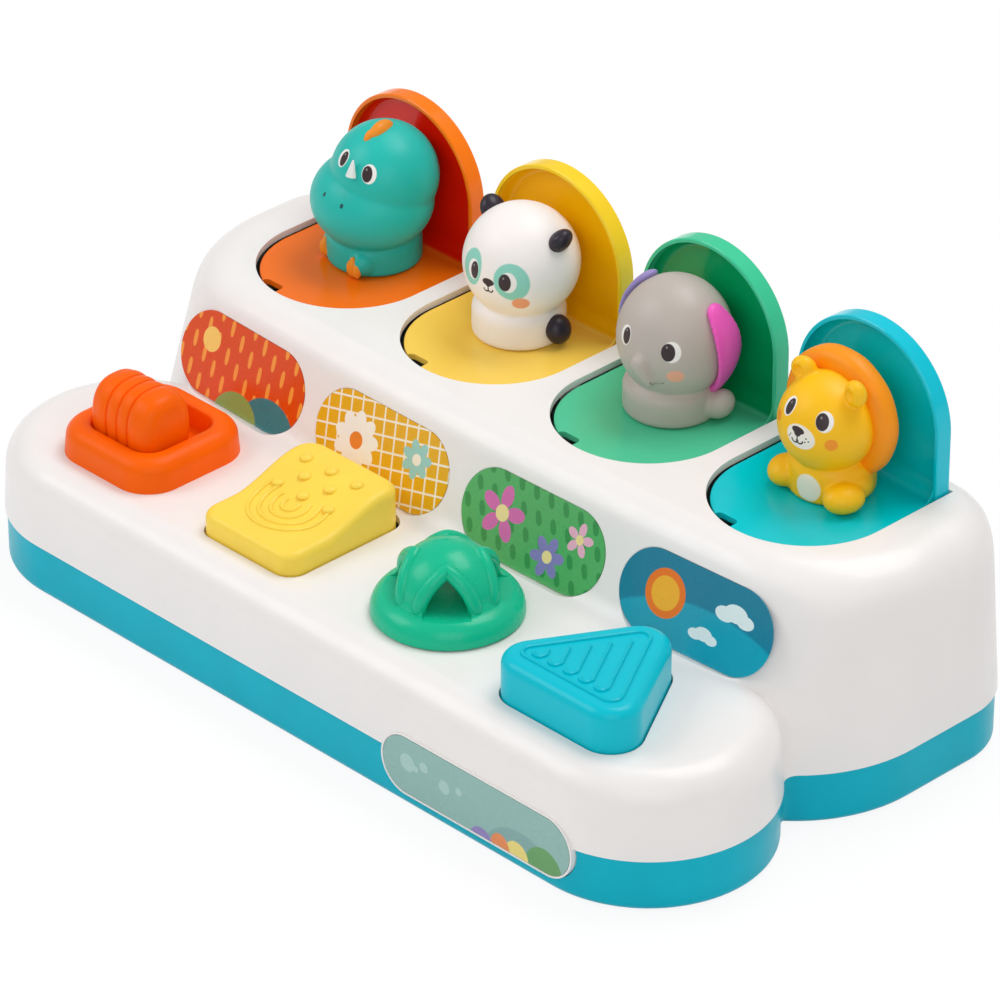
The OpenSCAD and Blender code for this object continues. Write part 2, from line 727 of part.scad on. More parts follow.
// Ring that holds the rotary knob under the deck, with the ramp that tips the latch
module knob_cam() {
    top = deck_h - wall - 0.6;
    ramp = function(a) lever_z + lever_t + 1.6 - (90 - a) * cam_rise / cam_turn;
    color("#d9e6de") translate([unit_x[2], knob_y, 0]) {
        difference() {
            translate([0, 0, deck_h - 8]) cylinder(r = 17, h = top - deck_h + 8);
            translate([0, 0, deck_h - 10]) cylinder(r = 10 + pin_fit, h = 20);
        }
        for (a = [28, 46, 64, 82]) hull() for (b = [a, a + 18]) rotate([0, 0, b])
            box(11, 16.5, -0.1, 0.1, ramp(b), deck_h - 7.5);
    }
}

module triangle_button() {
    top = deck_h + tri_h;
    color("#19c3df") translate([unit_x[3], tri_y, 0]) {
        difference() {
            union() {
                translate([0, 0, deck_h - wall - 1]) linear_extrude(tri_h + wall - 2)
                    triangle2d(tri_d, tri_r);
                translate([0, 0, top - 3.01]) linear_extrude(3.01) triangle2d(tri_d, tri_r - 2);
                translate([0, 0, deck_h - wall - 3]) linear_extrude(2.3) triangle2d(tri_d, tri_r + 2.2);
            }
            translate([0, 0, deck_h - wall - 4]) linear_extrude(tri_h + wall + 1.8)
                triangle2d(tri_d, tri_r - 2.4);
        }
        // stem that presses the latch's arm with its round end
        translate([0, button_y - tri_y, 0]) rotate_extrude() polygon(concat(
            arc(0, lever_z + lever_t + 3.4, 3, -90, 0, 8), [[3, top - 1], [0, top - 1]]));
    }
}

// ---- Drawing ----

top_housing();
bottom_shell();
housing_screws();
bracket_screws();
front_label();
dinosaur();
panda();
elephant();
lion();
for (k = [0:3]) {
    lid(k);
    figure_screw(k);
    wall_label(k);
    hinge_bracket(k);
    hinge_pin(k);
    lid_spring(k);
    latch(k);
    latch_pin(k);
    latch_spring(k);
}
slider_bezel();
slider_knob();
rocker_key();
rotary_knob();
knob_cam();
triangle_button();
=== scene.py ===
"""A toddler's pop-up toy: white housing, lids with animal figures, and the buttons that free them.

All pieces are drawn in millimetres in the part's own frame, then made metres.
"""
import json
from math import atan2, cos, degrees, hypot, pi, radians, sin, sqrt, tan

import bmesh
import bpy
from mathutils import Matrix, Vector

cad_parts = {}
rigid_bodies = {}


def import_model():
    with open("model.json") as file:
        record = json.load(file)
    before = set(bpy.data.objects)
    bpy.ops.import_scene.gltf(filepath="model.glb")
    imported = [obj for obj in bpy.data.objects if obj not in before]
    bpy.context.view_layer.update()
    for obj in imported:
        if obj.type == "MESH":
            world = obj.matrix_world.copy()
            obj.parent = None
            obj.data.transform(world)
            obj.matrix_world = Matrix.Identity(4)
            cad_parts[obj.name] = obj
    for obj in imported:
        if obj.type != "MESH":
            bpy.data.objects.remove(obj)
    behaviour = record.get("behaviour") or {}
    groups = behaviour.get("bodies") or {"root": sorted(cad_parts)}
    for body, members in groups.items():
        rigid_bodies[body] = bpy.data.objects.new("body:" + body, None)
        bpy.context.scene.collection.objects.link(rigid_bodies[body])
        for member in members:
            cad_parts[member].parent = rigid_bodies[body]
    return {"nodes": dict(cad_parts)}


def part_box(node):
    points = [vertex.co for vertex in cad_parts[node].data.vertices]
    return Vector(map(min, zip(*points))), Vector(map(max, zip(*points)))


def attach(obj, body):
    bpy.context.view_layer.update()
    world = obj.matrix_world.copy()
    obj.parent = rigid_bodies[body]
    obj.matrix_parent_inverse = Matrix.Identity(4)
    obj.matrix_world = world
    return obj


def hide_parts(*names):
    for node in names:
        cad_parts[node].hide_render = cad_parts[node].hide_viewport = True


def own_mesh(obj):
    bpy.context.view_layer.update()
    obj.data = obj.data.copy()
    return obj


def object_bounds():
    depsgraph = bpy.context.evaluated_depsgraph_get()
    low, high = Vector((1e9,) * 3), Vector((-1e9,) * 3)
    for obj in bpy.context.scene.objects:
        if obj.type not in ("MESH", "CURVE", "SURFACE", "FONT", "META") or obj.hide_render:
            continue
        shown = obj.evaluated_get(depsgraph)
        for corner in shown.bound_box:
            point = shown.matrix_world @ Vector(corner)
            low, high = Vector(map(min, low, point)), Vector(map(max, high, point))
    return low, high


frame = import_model()
CAD_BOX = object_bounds()
MM = 0.001


# ---- Sizes, in millimetres ----

def node_box(node):
    """Lowest and highest corner of a CAD node in millimetres."""
    low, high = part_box(node)
    return Vector(low) / MM, Vector(high) / MM


UNITS = ["orange", "yellow", "green", "blue"]
FIGURES = ["dinosaur", "panda", "elephant", "lion"]
PITCH = (node_box("blue_lid")[0].x - node_box("orange_lid")[0].x) / 3
UNIT_X = [(k - 1.5) * PITCH for k in range(4)]

# Housing: a raised rear and a low deck in front of it, on a shell that ends at the seam
TOP_HIGH = node_box("top_housing")[1]
REAR_HALF = TOP_HIGH.x
DEPTH_HALF = TOP_HIGH.y
REAR_H = TOP_HIGH.z
SEAM_H = 20.5
DECK_H = 50.0
WALL = 2.5
DECK_END_R = 46.2
DECK_END_X = REAR_HALF - 1.2 - DECK_END_R
DECK_END_Y = DECK_END_R - DEPTH_HALF
REAR_BACK_R = 29.5
REAR_FRONT_R = 57.0
CORNER_TAPER = 0.15
FRONT_LEAN = radians(20.7)
FRONT_WALL_Y = -11.4
FRONT_BOW = 3.0
BOW_HALF = 1.5 * PITCH
REAR_DRAFT = tan(radians(2.5))
DECK_DRAFT = tan(radians(3))
END_ROUND, BACK_ROUND, FRONT_ROUND, INNER_ROUND, DECK_ROUND = 16, 7, 9, 4, 12
FOOT_ROUND, FOOT_END, FOOT_FADE = 7, 150.0, 40.0
WEB_R, WEB_FADE = 5.0, 0.92
WEB_TOP = DECK_H - DECK_ROUND * (1 - sin(radians(45)))
SHELL_INSET, SHELL_WALL = 0.8, 2.2

# Labels, and the tab on the front that carries the widest one
LABEL_Z = 64.6
LABEL_HALF, LABEL_R, LABEL_T = 33.8, 15.5, 0.5
TAB_X, TAB_Z, TAB_HALF, TAB_R = 95.0, 17.0, 45.0, 11.0

# Lids, their hinges and the openings that they close
LID_LOW, LID_HIGH = node_box("orange_lid")
LID_HALF = (LID_HIGH.x - LID_LOW.x) / 2
LID_T = 7.0
LID_BACK_Y = LID_HIGH.y
LID_FRONT_Y = LID_BACK_Y - LID_T
LID_RIM = 1.5
HOLLOW_DEPTH = 5.0
HINGE_C = LID_T - 0.2
HINGE_Y = LID_BACK_Y - HINGE_C
HINGE_Z = REAR_H - HINGE_C
BARREL_REACH, PIN_HALF = 9, 28.5
LID_ARC_Z = LID_HIGH.z - LID_HALF
OPEN_HALF = LID_HALF + 0.8
OPEN_FRONT = HINGE_Y - (LID_ARC_Z - HINGE_Z) - LID_HALF - 1
OPEN_ARC_Y = OPEN_FRONT + OPEN_HALF
OPEN_BACK = LID_BACK_Y + 0.9
OPEN_LOW, OPEN_HIGH = 70.0, 110.0
TRAY_HALF = LID_HALF - 0.6
TRAY_ARC_Y = OPEN_FRONT + 1.4 + TRAY_HALF
TRAY_Z = REAR_H - 1.8
TRAY_T = 2.2
NOTCH_X = -10.0

# Buttons
BUTTON_Y = -52.0
KNOB_Y = BUTTON_Y + 0.4
TRI_Y = BUTTON_Y - 4.6
TRI_D, TRI_R = 21.2, 11.0
PLUG_HALF, SPINDLE_HOLE_R = 14.7, 14.5
KEY_X = UNIT_X[1]
KEY_HALF, KEY_CORNER = 23.8, 7.3
KEY_Y0, KEY_Y1 = BUTTON_Y - 25.4, BUTTON_Y + 29.4
KEY_LOW, KEY_RISE, KEY_RAMP_Y, KEY_RAMP = DECK_H + 8.5, 7.5, BUTTON_Y - 9, 30
KEY_PIN_R, KEY_PIN_Y, KEY_PIN_Z = 2.0, BUTTON_Y - 23, DECK_H - 5.5

# Latch levers in the bottom shell: their pins, the lugs that hold these, and the spring seats
LATCH_Y, LATCH_Z, LATCH_LUG_R = 8, 36, 5
LATCH_LUGS = [(-18.5, -14.5), (4.5, 8.5)]
LATCH_TILT, SLIDER_TRAVEL = 4, 9
SEAT_Y, SEAT_R, SEAT_TOP, SPIGOT_R = -20, 5.5, 12, 2.6

# Screws up into the housing: their places, the radii and upper ends of their posts, and their wells
SCREW_PLACES = [(28 - REAR_HALF, 39 - DEPTH_HALF), (REAR_HALF - 28, 39 - DEPTH_HALF),
                (0, 18 - DEPTH_HALF), (15 - REAR_HALF, 45), (REAR_HALF - 15, 45), (0, 45)]
POST_SIZES = [(4.2, DECK_H - 1)] * 3 + [(4.2, REAR_H - 4)] * 2 + [(3.6, REAR_H - 1)]
SCREW_HOLE_R, SCREW_PASS_R, SCREW_HEAD_R = 1.4, 1.7, 3.5
WELL_POST_R, WELL_TOP = 5, 14
BRACKET_POST_X, BRACKET_POST_Y, BRACKET_POST_R = 14, HINGE_Y + 10.3, 2.8


# ---- Mesh helpers ----

def place(bm, verts, matrix):
    bmesh.ops.transform(bm, matrix=matrix, verts=verts)


def moved(bm, x, y=0.0, z=0.0):
    bmesh.ops.translate(bm, vec=(x, y, z), verts=bm.verts)
    return bm


def arc(cx, cy, r, a0, a1, n):
    """Points along an arc, angles in degrees."""
    angles = [radians(a0 + (a1 - a0) * i / n) for i in range(n + 1)]
    return [(cx + r * cos(a), cy + r * sin(a)) for a in angles]


def circle(cx, cy, r, n):
    """Corners of a round outline with n sides."""
    return arc(cx, cy, r, 0, 360 - 360 / n, n - 1)


def quarter(r, step):
    """A quarter round in steps of some degrees: how far in from the side, how far below the end."""
    return [(r * (1 - cos(radians(a))), r * (1 - sin(radians(a)))) for a in range(0, 91, step)]


def rectangle(x0, x1, y0, y1):
    return [(x0, y0), (x1, y0), (x1, y1), (x0, y1)]


def rounded_rectangle(x0, x1, y0, y1, r, n=12):
    pts = []
    corners = [(x1 - r, y0 + r), (x1 - r, y1 - r), (x0 + r, y1 - r), (x0 + r, y0 + r)]
    for (cx, cy), a in zip(corners, (-90, 0, 90, 180)):
        pts += arc(cx, cy, r, a, a + 90, n)
    return pts


def capsule(half, r, n=32):
    """Outline with two parallel sides and two round ends."""
    c = half - r
    return arc(c, 0, r, -90, 90, n) + arc(-c, 0, r, 90, 270, n)


def triangle(d, r, n):
    """Outline of a triangle whose round corners have their centres at d from its middle."""
    pts = []
    for a in (-150, -30, 90):
        pts += arc(d * cos(radians(a)), d * sin(radians(a)), r, a - 60, a + 60, n)
    return pts


def with_side_points(points, count):
    """The same outline with evenly spaced points along its long straight sides."""
    out = []
    for (x0, y0), (x1, y1) in zip(points, points[1:] + points[:1]):
        steps = count if hypot(x1 - x0, y1 - y0) > 5 else 1
        out += [(x0 + (x1 - x0) * i / steps, y0 + (y1 - y0) * i / steps) for i in range(steps)]
    return out


def shifted(points, x, y):
    return [(px + x, py + y) for px, py in points]


def level(points, z):
    """A flat outline as a ring of points at height z."""
    return [(x, y, z) for x, y in points]


def solid(rings):
    """Skins rings with equally many points into a closed solid."""
    bm = bmesh.new()
    face = bm.faces.new([bm.verts.new(p) for p in rings[0]])
    first = list(face.verts)
    for ring in rings[1:]:
        face = bmesh.ops.extrude_discrete_faces(bm, faces=[face])["faces"][0]
        for vert, point in zip(face.verts, ring):
            vert.co = point
    bm.faces.new(first[::-1])
    bmesh.ops.recalc_face_normals(bm, faces=bm.faces)
    return bm


def prism(points, low, high, axis="Z"):
    """An outline carried along an axis."""
    if axis == "Z":
        return solid([level(points, h) for h in (low, high)])
    if axis == "Y":
        return solid([[(a, h, b) for a, b in points] for h in (low, high)])
    return solid([[(h, a, b) for a, b in points] for h in (low, high)])


def round_solid(x, y, profile, n):
    """A solid with n sides round an upright axis, from a profile of (radius, height)."""
    return solid([level(circle(x, y, r, n), z) for r, z in profile])


def mesh_of(bm):
    mesh = bpy.data.meshes.new("scratch")
    bmesh.ops.recalc_face_normals(bm, faces=bm.faces)
    bm.to_mesh(mesh)
    bm.free()
    return mesh


def scratch_object(data):
    obj = bpy.data.objects.new("scratch", data)
    bpy.context.scene.collection.objects.link(obj)
    return obj


def evaluated(obj):
    """The bmesh of an object with its modifiers applied; the object goes."""
    bpy.context.view_layer.update()
    graph = bpy.context.evaluated_depsgraph_get()
    mesh = bpy.data.meshes.new_from_object(obj.evaluated_get(graph))
    bm = bmesh.new()
    bm.from_mesh(mesh)
    bpy.data.batch_remove([obj, obj.data, mesh])
    return bm


def absorb(bm, other):
    """Adds another bmesh's shape to this one."""
    mesh = mesh_of(other)
    bm.from_mesh(mesh)
    bpy.data.meshes.remove(mesh)


def combine(bm, others, operation):
    """Boolean of a bmesh with each of the others."""
    obj = scratch_object(mesh_of(bm))
    tools = [scratch_object(mesh_of(other)) for other in others]
    for tool in tools:
        mod = obj.modifiers.new("cut", "BOOLEAN")
        mod.operation = operation
        mod.solver = "EXACT"
        mod.object = tool
    result = evaluated(obj)
    for tool in tools:
        bpy.data.batch_remove([tool, tool.data])
    bmesh.ops.remove_doubles(result, verts=result.verts, dist=0.002)
    return result


def cut(bm, *others):
    return combine(bm, others, "DIFFERENCE")


def join(bm, *others):
    return combine(bm, others, "UNION")


def soft_union(bm, voxel=0.6, rounds=6):
    """Closed shapes in a bmesh, fused and smoothed like a moulded figure."""
    obj = scratch_object(mesh_of(bm))
    remesh = obj.modifiers.new("fuse", "REMESH")
    remesh.mode = "VOXEL"
    remesh.voxel_size = voxel
    smooth = obj.modifiers.new("smooth", "SMOOTH")
    smooth.factor = 0.5
    smooth.iterations = rounds
    return evaluated(obj)


def trim_below(bm, z):
    """Cuts off what lies below a level and closes the shape there."""
    bmesh.ops.bisect_plane(bm, geom=bm.verts[:] + bm.edges[:] + bm.faces[:], plane_co=(0, 0, z),
                           plane_no=(0, 0, -1), clear_outer=True)
    bmesh.ops.holes_fill(bm, edges=bm.edges[:])


def round_edges(bm, test, width, segments=3):
    """Rounds the sharp edges that pass a test of their two ends."""
    edges = [e for e in bm.edges if len(e.link_faces) == 2 and e.calc_face_angle(0) > radians(35)
             and test(e.verts[0].co) and test(e.verts[1].co)]
    bmesh.ops.bevel(bm, geom=edges, offset=width, offset_type="OFFSET", segments=segments, profile=0.5,
                    affect="EDGES", clamp_overlap=True, material=-1)


def tube(points, radius, resolution, closed=False):
    """A round tube along a path of (x, y, z) points."""
    curve = bpy.data.curves.new("tube", "CURVE")
    curve.dimensions = "3D"
    curve.bevel_depth = radius
    curve.bevel_resolution = resolution
    curve.use_fill_caps = True
    spline = curve.splines.new("POLY")
    spline.points.add(len(points) - 1)
    spline.use_cyclic_u = closed
    for point, co in zip(spline.points, points):
        point.co = (*co, 1)
    return evaluated(scratch_object(curve))


def ridge(points, width, height, closed=False):
    """A low rounded rib along a path of (x, y, z) points."""
    bm = tube([(x, y, 0) for x, y, _ in points], width / 2, 2, closed)
    bmesh.ops.scale(bm, vec=(1, 1, height / (width / 2)), verts=bm.verts)
    for vert in bm.verts:
        near = min(points, key=lambda p: (p[0] - vert.co.x) ** 2 + (p[1] - vert.co.y) ** 2)
        vert.co.z += near[2]
    return bm


def piece(bm, name, body, material, replaces=(), sharp=32, weighted=True):
    """Makes a bmesh in millimetres a piece that rides on a body."""
    bmesh.ops.remove_doubles(bm, verts=bm.verts, dist=0.001)
    bmesh.ops.recalc_face_normals(bm, faces=bm.faces)
    bmesh.ops.scale(bm, vec=(MM, MM, MM), verts=bm.verts)
    mesh = bpy.data.meshes.new(name)
    bm.to_mesh(mesh)
    bm.free()
    mesh.shade_smooth()
    mesh.set_sharp_from_angle(angle=radians(sharp))
    mesh.materials.append(material)
    obj = bpy.data.objects.new(name, mesh)
    bpy.context.scene.collection.objects.link(obj)
    if weighted:
        mod = obj.modifiers.new("even shading", "WEIGHTED_NORMAL")
        mod.keep_sharp = True
    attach(obj, body)
    if replaces:
        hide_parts(*replaces)
    return obj


# ---- Materials ----

def linear(code):
    """A colour written as #rrggbb, made linear."""
    parts = [int(code[i:i + 2], 16) / 255 for i in (1, 3, 5)]
    return [c / 12.92 if c <= 0.04045 else ((c + 0.055) / 1.055) ** 2.4 for c in parts] + [1.0]


def shader_node(tree, kind, inputs, output=0, **settings):
    """Adds a node with its settings, sets or links its inputs, and gives one of its outputs."""
    node = tree.nodes.new("ShaderNode" + kind)
    for name, value in settings.items():
        setattr(node, name, value)
    for name, value in inputs.items():
        if isinstance(value, bpy.types.NodeSocket):
            tree.links.new(value, node.inputs[name])
        else:
            node.inputs[name].default_value = value
    return node.outputs[output]


class Finish:
    """A node material under construction, read in the part's own metres."""

    def __init__(self, name, colour, rough=0.35, coat=0.0, specular=0.35):
        self.material = bpy.data.materials.new(name)
        self.material.use_nodes = True
        self.tree = self.material.node_tree
        self.shader = self.tree.nodes["Principled BSDF"].inputs
        self.shader["Coat Weight"].default_value = coat
        self.shader["Coat Roughness"].default_value = 0.08
        self.shader["Specular IOR Level"].default_value = specular
        self.where = self.node("TexCoord", {}, "Object")
        self.colour = self.fixed(colour)
        self.rough = rough

    def node(self, kind, inputs, output=0, **settings):
        return shader_node(self.tree, kind, inputs, output, **settings)

    def fixed(self, colour):
        socket = self.node("RGB", {})
        socket.default_value = linear(colour)
        return socket

    def math(self, operation, a, b=0.0):
        return self.node("Math", {0: a, 1: b}, operation=operation)

    def times(self, a, b):
        return self.math("MULTIPLY", a, b)

    def length(self, vector):
        return self.node("VectorMath", {0: vector}, "Value", operation="LENGTH")

    def split(self, vector):
        """The X, Y and Z of a vector."""
        return self.node("SeparateXYZ", {0: vector}).node.outputs

    def noise(self, scale, detail):
        return self.node("TexNoise", {"Vector": self.where, "Scale": scale, "Detail": detail}, "Fac")

    def ramp(self, value, low, high, out_low=0.0, out_high=1.0):
        """A soft step between two values."""
        ends = {"From Min": low, "From Max": high, "To Min": out_low, "To Max": out_high}
        return self.node("MapRange", {"Value": value, **ends}, "Result", interpolation_type="SMOOTHSTEP")

    def paint(self, colour, mask):
        """Lays a colour over what is there, where the mask is 1."""
        layers = {"Factor": mask, "A": self.colour, "B": self.fixed(colour)}
        self.colour = self.node("Mix", layers, "Result", data_type="RGBA")

    def framed(self, vector, centre, turn, scale):
        """A vector as a small frame of its own has it: centre, turn in degrees, and scale."""
        frame_at = {"Location": centre, "Rotation": [radians(a) for a in turn], "Scale": scale}
        return self.node("Mapping", {"Vector": vector, **frame_at}, "Vector", vector_type="TEXTURE")

    def local(self, centre, turn=(0, 0, 0), scale=(1, 1, 1)):
        """Object coordinates in a small frame: millimetre centre, turn in degrees, scale in millimetres."""
        return self.framed(self.where, [c * MM for c in centre], turn, [s * MM for s in scale])

    def spot(self, centre, radii, turn=(0, 0, 0), soft=0.05):
        """Mask of a round or oval spot."""
        return self.ramp(self.length(self.local(centre, turn, radii)), 1 + soft, 1 - soft)

    def done(self, grain=0.00002, grain_scale=2500.0, mottle=0.03, rough_spread=0.05):
        """Adds the fine grain and unevenness of moulded plastic and returns the material."""
        rough, spread = self.rough, rough_spread
        cloud = self.ramp(self.noise(45.0, 3.0), 0.3, 0.7, 1 - mottle, 1 + mottle)
        bumps = {"Height": self.noise(grain_scale, 2.0), "Strength": 0.6, "Distance": grain}
        looks = {"Base Color": self.node("HueSaturation", {"Value": cloud, "Color": self.colour}),
                 "Roughness": self.ramp(self.noise(160.0, 4.0), 0.3, 0.7, rough - spread, rough + spread),
                 "Normal": self.node("Bump", bumps)}
        for name, socket in looks.items():
            self.tree.links.new(socket, self.shader[name])
        return self.material


def plastic(name, colour, rough=0.35, coat=0.0, specular=0.35, **kw):
    return Finish(name, colour, rough, coat, specular).done(**kw)


def metal(name, colour, rough):
    made = Finish(name, colour, rough)
    made.shader["Metallic"].default_value = 1.0
    return made.done(grain=0.00001, grain_scale=900.0, mottle=0.05)


WHITE_SHELL = plastic("white_shell", "#f4f0ee", 0.34, 0.12, mottle=0.008)
TURQUOISE_SHELL = plastic("turquoise_shell", "#00b4ca", 0.33, 0.02, 0.14)
STEEL = metal("screw_steel", "#b9bdc1", 0.28)
SPRING_STEEL = metal("spring_steel", "#a7abb0", 0.34)
INNER_PLASTIC = plastic("inner_plastic", "#e2e0dc", 0.5)
ORANGE_SOFT = plastic("orange_button", "#ff6600", 0.36, 0.0, 0.14)
YELLOW_SOFT = plastic("yellow_button", "#ffdb52", 0.4, 0.02, 0.3)
GREEN_SOFT = plastic("green_button", "#10c092", 0.28, 0.08, 0.22, mottle=0.01, rough_spread=0.03)
BLUE_SOFT = plastic("blue_button", "#04c4d6", 0.3, 0.05, 0.16, grain=0.000006, mottle=0.008,
                    rough_spread=0.02)


# ---- Housing ----

def inset(z, top, r):
    """How far a rounding of radius r draws a wall in at height z."""
    if z <= top - r:
        return 0.0
    return r - sqrt(max(0.0, r * r - (z - (top - r)) ** 2))


def bow(x):
    """How far back the bowed front wall lies at x."""
    return FRONT_BOW * (x / BOW_HALF) ** 2


def wall_yaw(x):
    return atan2(2 * FRONT_BOW * x, BOW_HALF ** 2)


def wall_front(z):
    """Where the leaning front wall lies at height z, in the middle."""
    return FRONT_WALL_Y + (z - LABEL_Z) * tan(FRONT_LEAN)


def outline(half, front, back, rf, rb, foot=0.0):
    """Outline of the rear: bowed front, two large front corners, two small back corners."""
    xe = half - rf
    ye = front + bow(xe)
    flat_y = ye + rf * 0.6
    pts = [(xe * i / 12, front + bow(xe * i / 12)) for i in range(-12, 12)]
    pts += arc(xe, ye + rf, rf, -90, 0, 24)
    pts += arc(half - rb, back - rb, rb, 0, 90, 24)
    pts += arc(rb - half, back - rb, rb, 90, 180, 24)
    pts += arc(-xe, ye + rf, rf, 180, 269, 24)

    def foot_at(x, y):
        share = max(0.0, min(1.0, (FOOT_END - abs(x)) / FOOT_FADE))
        return foot * share if y < flat_y else 0.0

    return [(x, y - foot_at(x, y)) for x, y in pts]


def rear_rings(t, z0, top, front_r, foot_r=0.0):
    """Level rings of the raised rear, drawn in by t; foot_r rounds it into the deck."""
    levels = [z0, (z0 + DECK_H) / 2, DECK_H - 3]
    levels += [DECK_H + along for along, _ in quarter(foot_r, 15)] if foot_r else [DECK_H]
    levels += [top - END_ROUND - 4] + [top - below for _, below in quarter(END_ROUND, 6)]
    rings = []
    for z in levels:
        drawn_in = t + (z - SEAM_H) * REAR_DRAFT
        half = REAR_HALF - drawn_in - inset(z, top, END_ROUND)
        back = DEPTH_HALF - drawn_in - inset(z, top, BACK_ROUND)
        front = wall_front(z) + t / cos(FRONT_LEAN) + inset(z, top, front_r)
        rf = (REAR_FRONT_R - t) * (1 - CORNER_TAPER * (z - z0) / (top - z0))
        rb = REAR_BACK_R - t - inset(z, top, END_ROUND) * 0.6
        rise = min(max(z - DECK_H, 0.0), foot_r)
        foot = foot_r - sqrt(max(0.0, foot_r ** 2 - (foot_r - rise) ** 2)) if foot_r else 0.0
        rings.append(level(outline(half, front, back, rf, rb, foot), z))
    return rings


def deck_outline(t):
    r = DECK_END_R - t
    return arc(DECK_END_X, DECK_END_Y, r, -90, 90, 48) + arc(-DECK_END_X, DECK_END_Y, r, 90, 270, 48)


def deck_rings(t, z0, top):
    """Level rings of the deck, drawn in by t."""
    levels = [z0, (z0 + top - DECK_ROUND) / 2] + [top - below for _, below in quarter(DECK_ROUND, 6)]
    return [level(deck_outline(t + max(0.0, z - SEAM_H) * DECK_DRAFT + inset(z, top, DECK_ROUND)), z)
            for z in levels]


def notch_web(side, t, levels, tapered):
    """Rings that fill the notch between the deck's end and the rear's corner with a soft hollow."""
    rings = []
    for z in levels:
        over = max(0.0, z - SEAM_H)
        taper = over if tapered else 0.0
        web_r = WEB_R * (1 - WEB_FADE * (taper / (WEB_TOP - SEAM_H)) ** 3)
        r1 = DECK_END_R - t - over * DECK_DRAFT - inset(z, DECK_H, DECK_ROUND)
        r2 = (REAR_FRONT_R - t) * (1 - CORNER_TAPER * taper / (REAR_H - SEAM_H))
        xe = REAR_HALF - t - taper * REAR_DRAFT - r2
        c1 = Vector((DECK_END_X, DECK_END_Y))
        c2 = Vector((xe, wall_front(SEAM_H + over) + t / cos(FRONT_LEAN) + bow(xe) + r2))
        gap = (c2 - c1).length
        axis = (c2 - c1) / gap
        a1, a2 = r1 + web_r, r2 + web_r
        along = (a1 ** 2 - a2 ** 2 + gap ** 2) / (2 * gap)
        off = sqrt(max(0.0, a1 ** 2 - along ** 2))
        centre = c1 + axis * along + Vector((axis.y, -axis.x)) * off
        start = atan2(c1.y - centre.y, c1.x - centre.x)
        end = atan2(c2.y - centre.y, c2.x - centre.x)
        turn = (start - end) % (2 * pi)
        hollow = arc(centre.x, centre.y, web_r, degrees(start), degrees(start - turn), 10)
        pts = [Vector(p) for p in hollow]
        pts += [c2 + (pts[-1] - c2) * 0.8, c1 + (pts[0] - c1) * 0.8]
        ring = [(side * p.x, p.y, z) for p in pts]
        rings.append(ring if side > 0 else ring[::-1])
    return rings


def opening_outline(half, arc_y, back, x=0.0):
    """Outline of a lid's opening or tray: an arc in front and straight sides to the back."""
    return arc(x, arc_y, half, 180, 360, 64) + [(x + half, back), (x - half, back)]


def on_front_wall(k):
    """Places a shape that is drawn flat on the rear's front wall, with +Z out of it."""
    x = UNIT_X[k]
    spot = Matrix.Translation((x, FRONT_WALL_Y + bow(x), LABEL_Z))
    return spot @ Matrix.Rotation(wall_yaw(x), 4, "Z") @ Matrix.Rotation(pi / 2 - FRONT_LEAN, 4, "X")


ON_TAB = Matrix.Translation((TAB_X, -DEPTH_HALF, TAB_Z)) @ Matrix.Rotation(pi / 2, 4, "X")


def placed_capsule(half, r, low, high, matrix):
    bm = prism(capsule(half, r), low, high)
    place(bm, bm.verts, matrix)
    return bm


def screw_post(x, y, r, low, high, depth=17):
    """A post with a blind hole for a screw from below."""
    profile = [(SCREW_HOLE_R, low + depth), (SCREW_HOLE_R, low), (r, low), (r, high)]
    return round_solid(x, y, profile, 36)


def bored(body, x0, x1, y, z, r):
    """A lug from x0 to x1 with a bore for its pin."""
    return cut(body, prism(circle(y, z, r, 24), x0 - 1, x1 + 1, "X"))


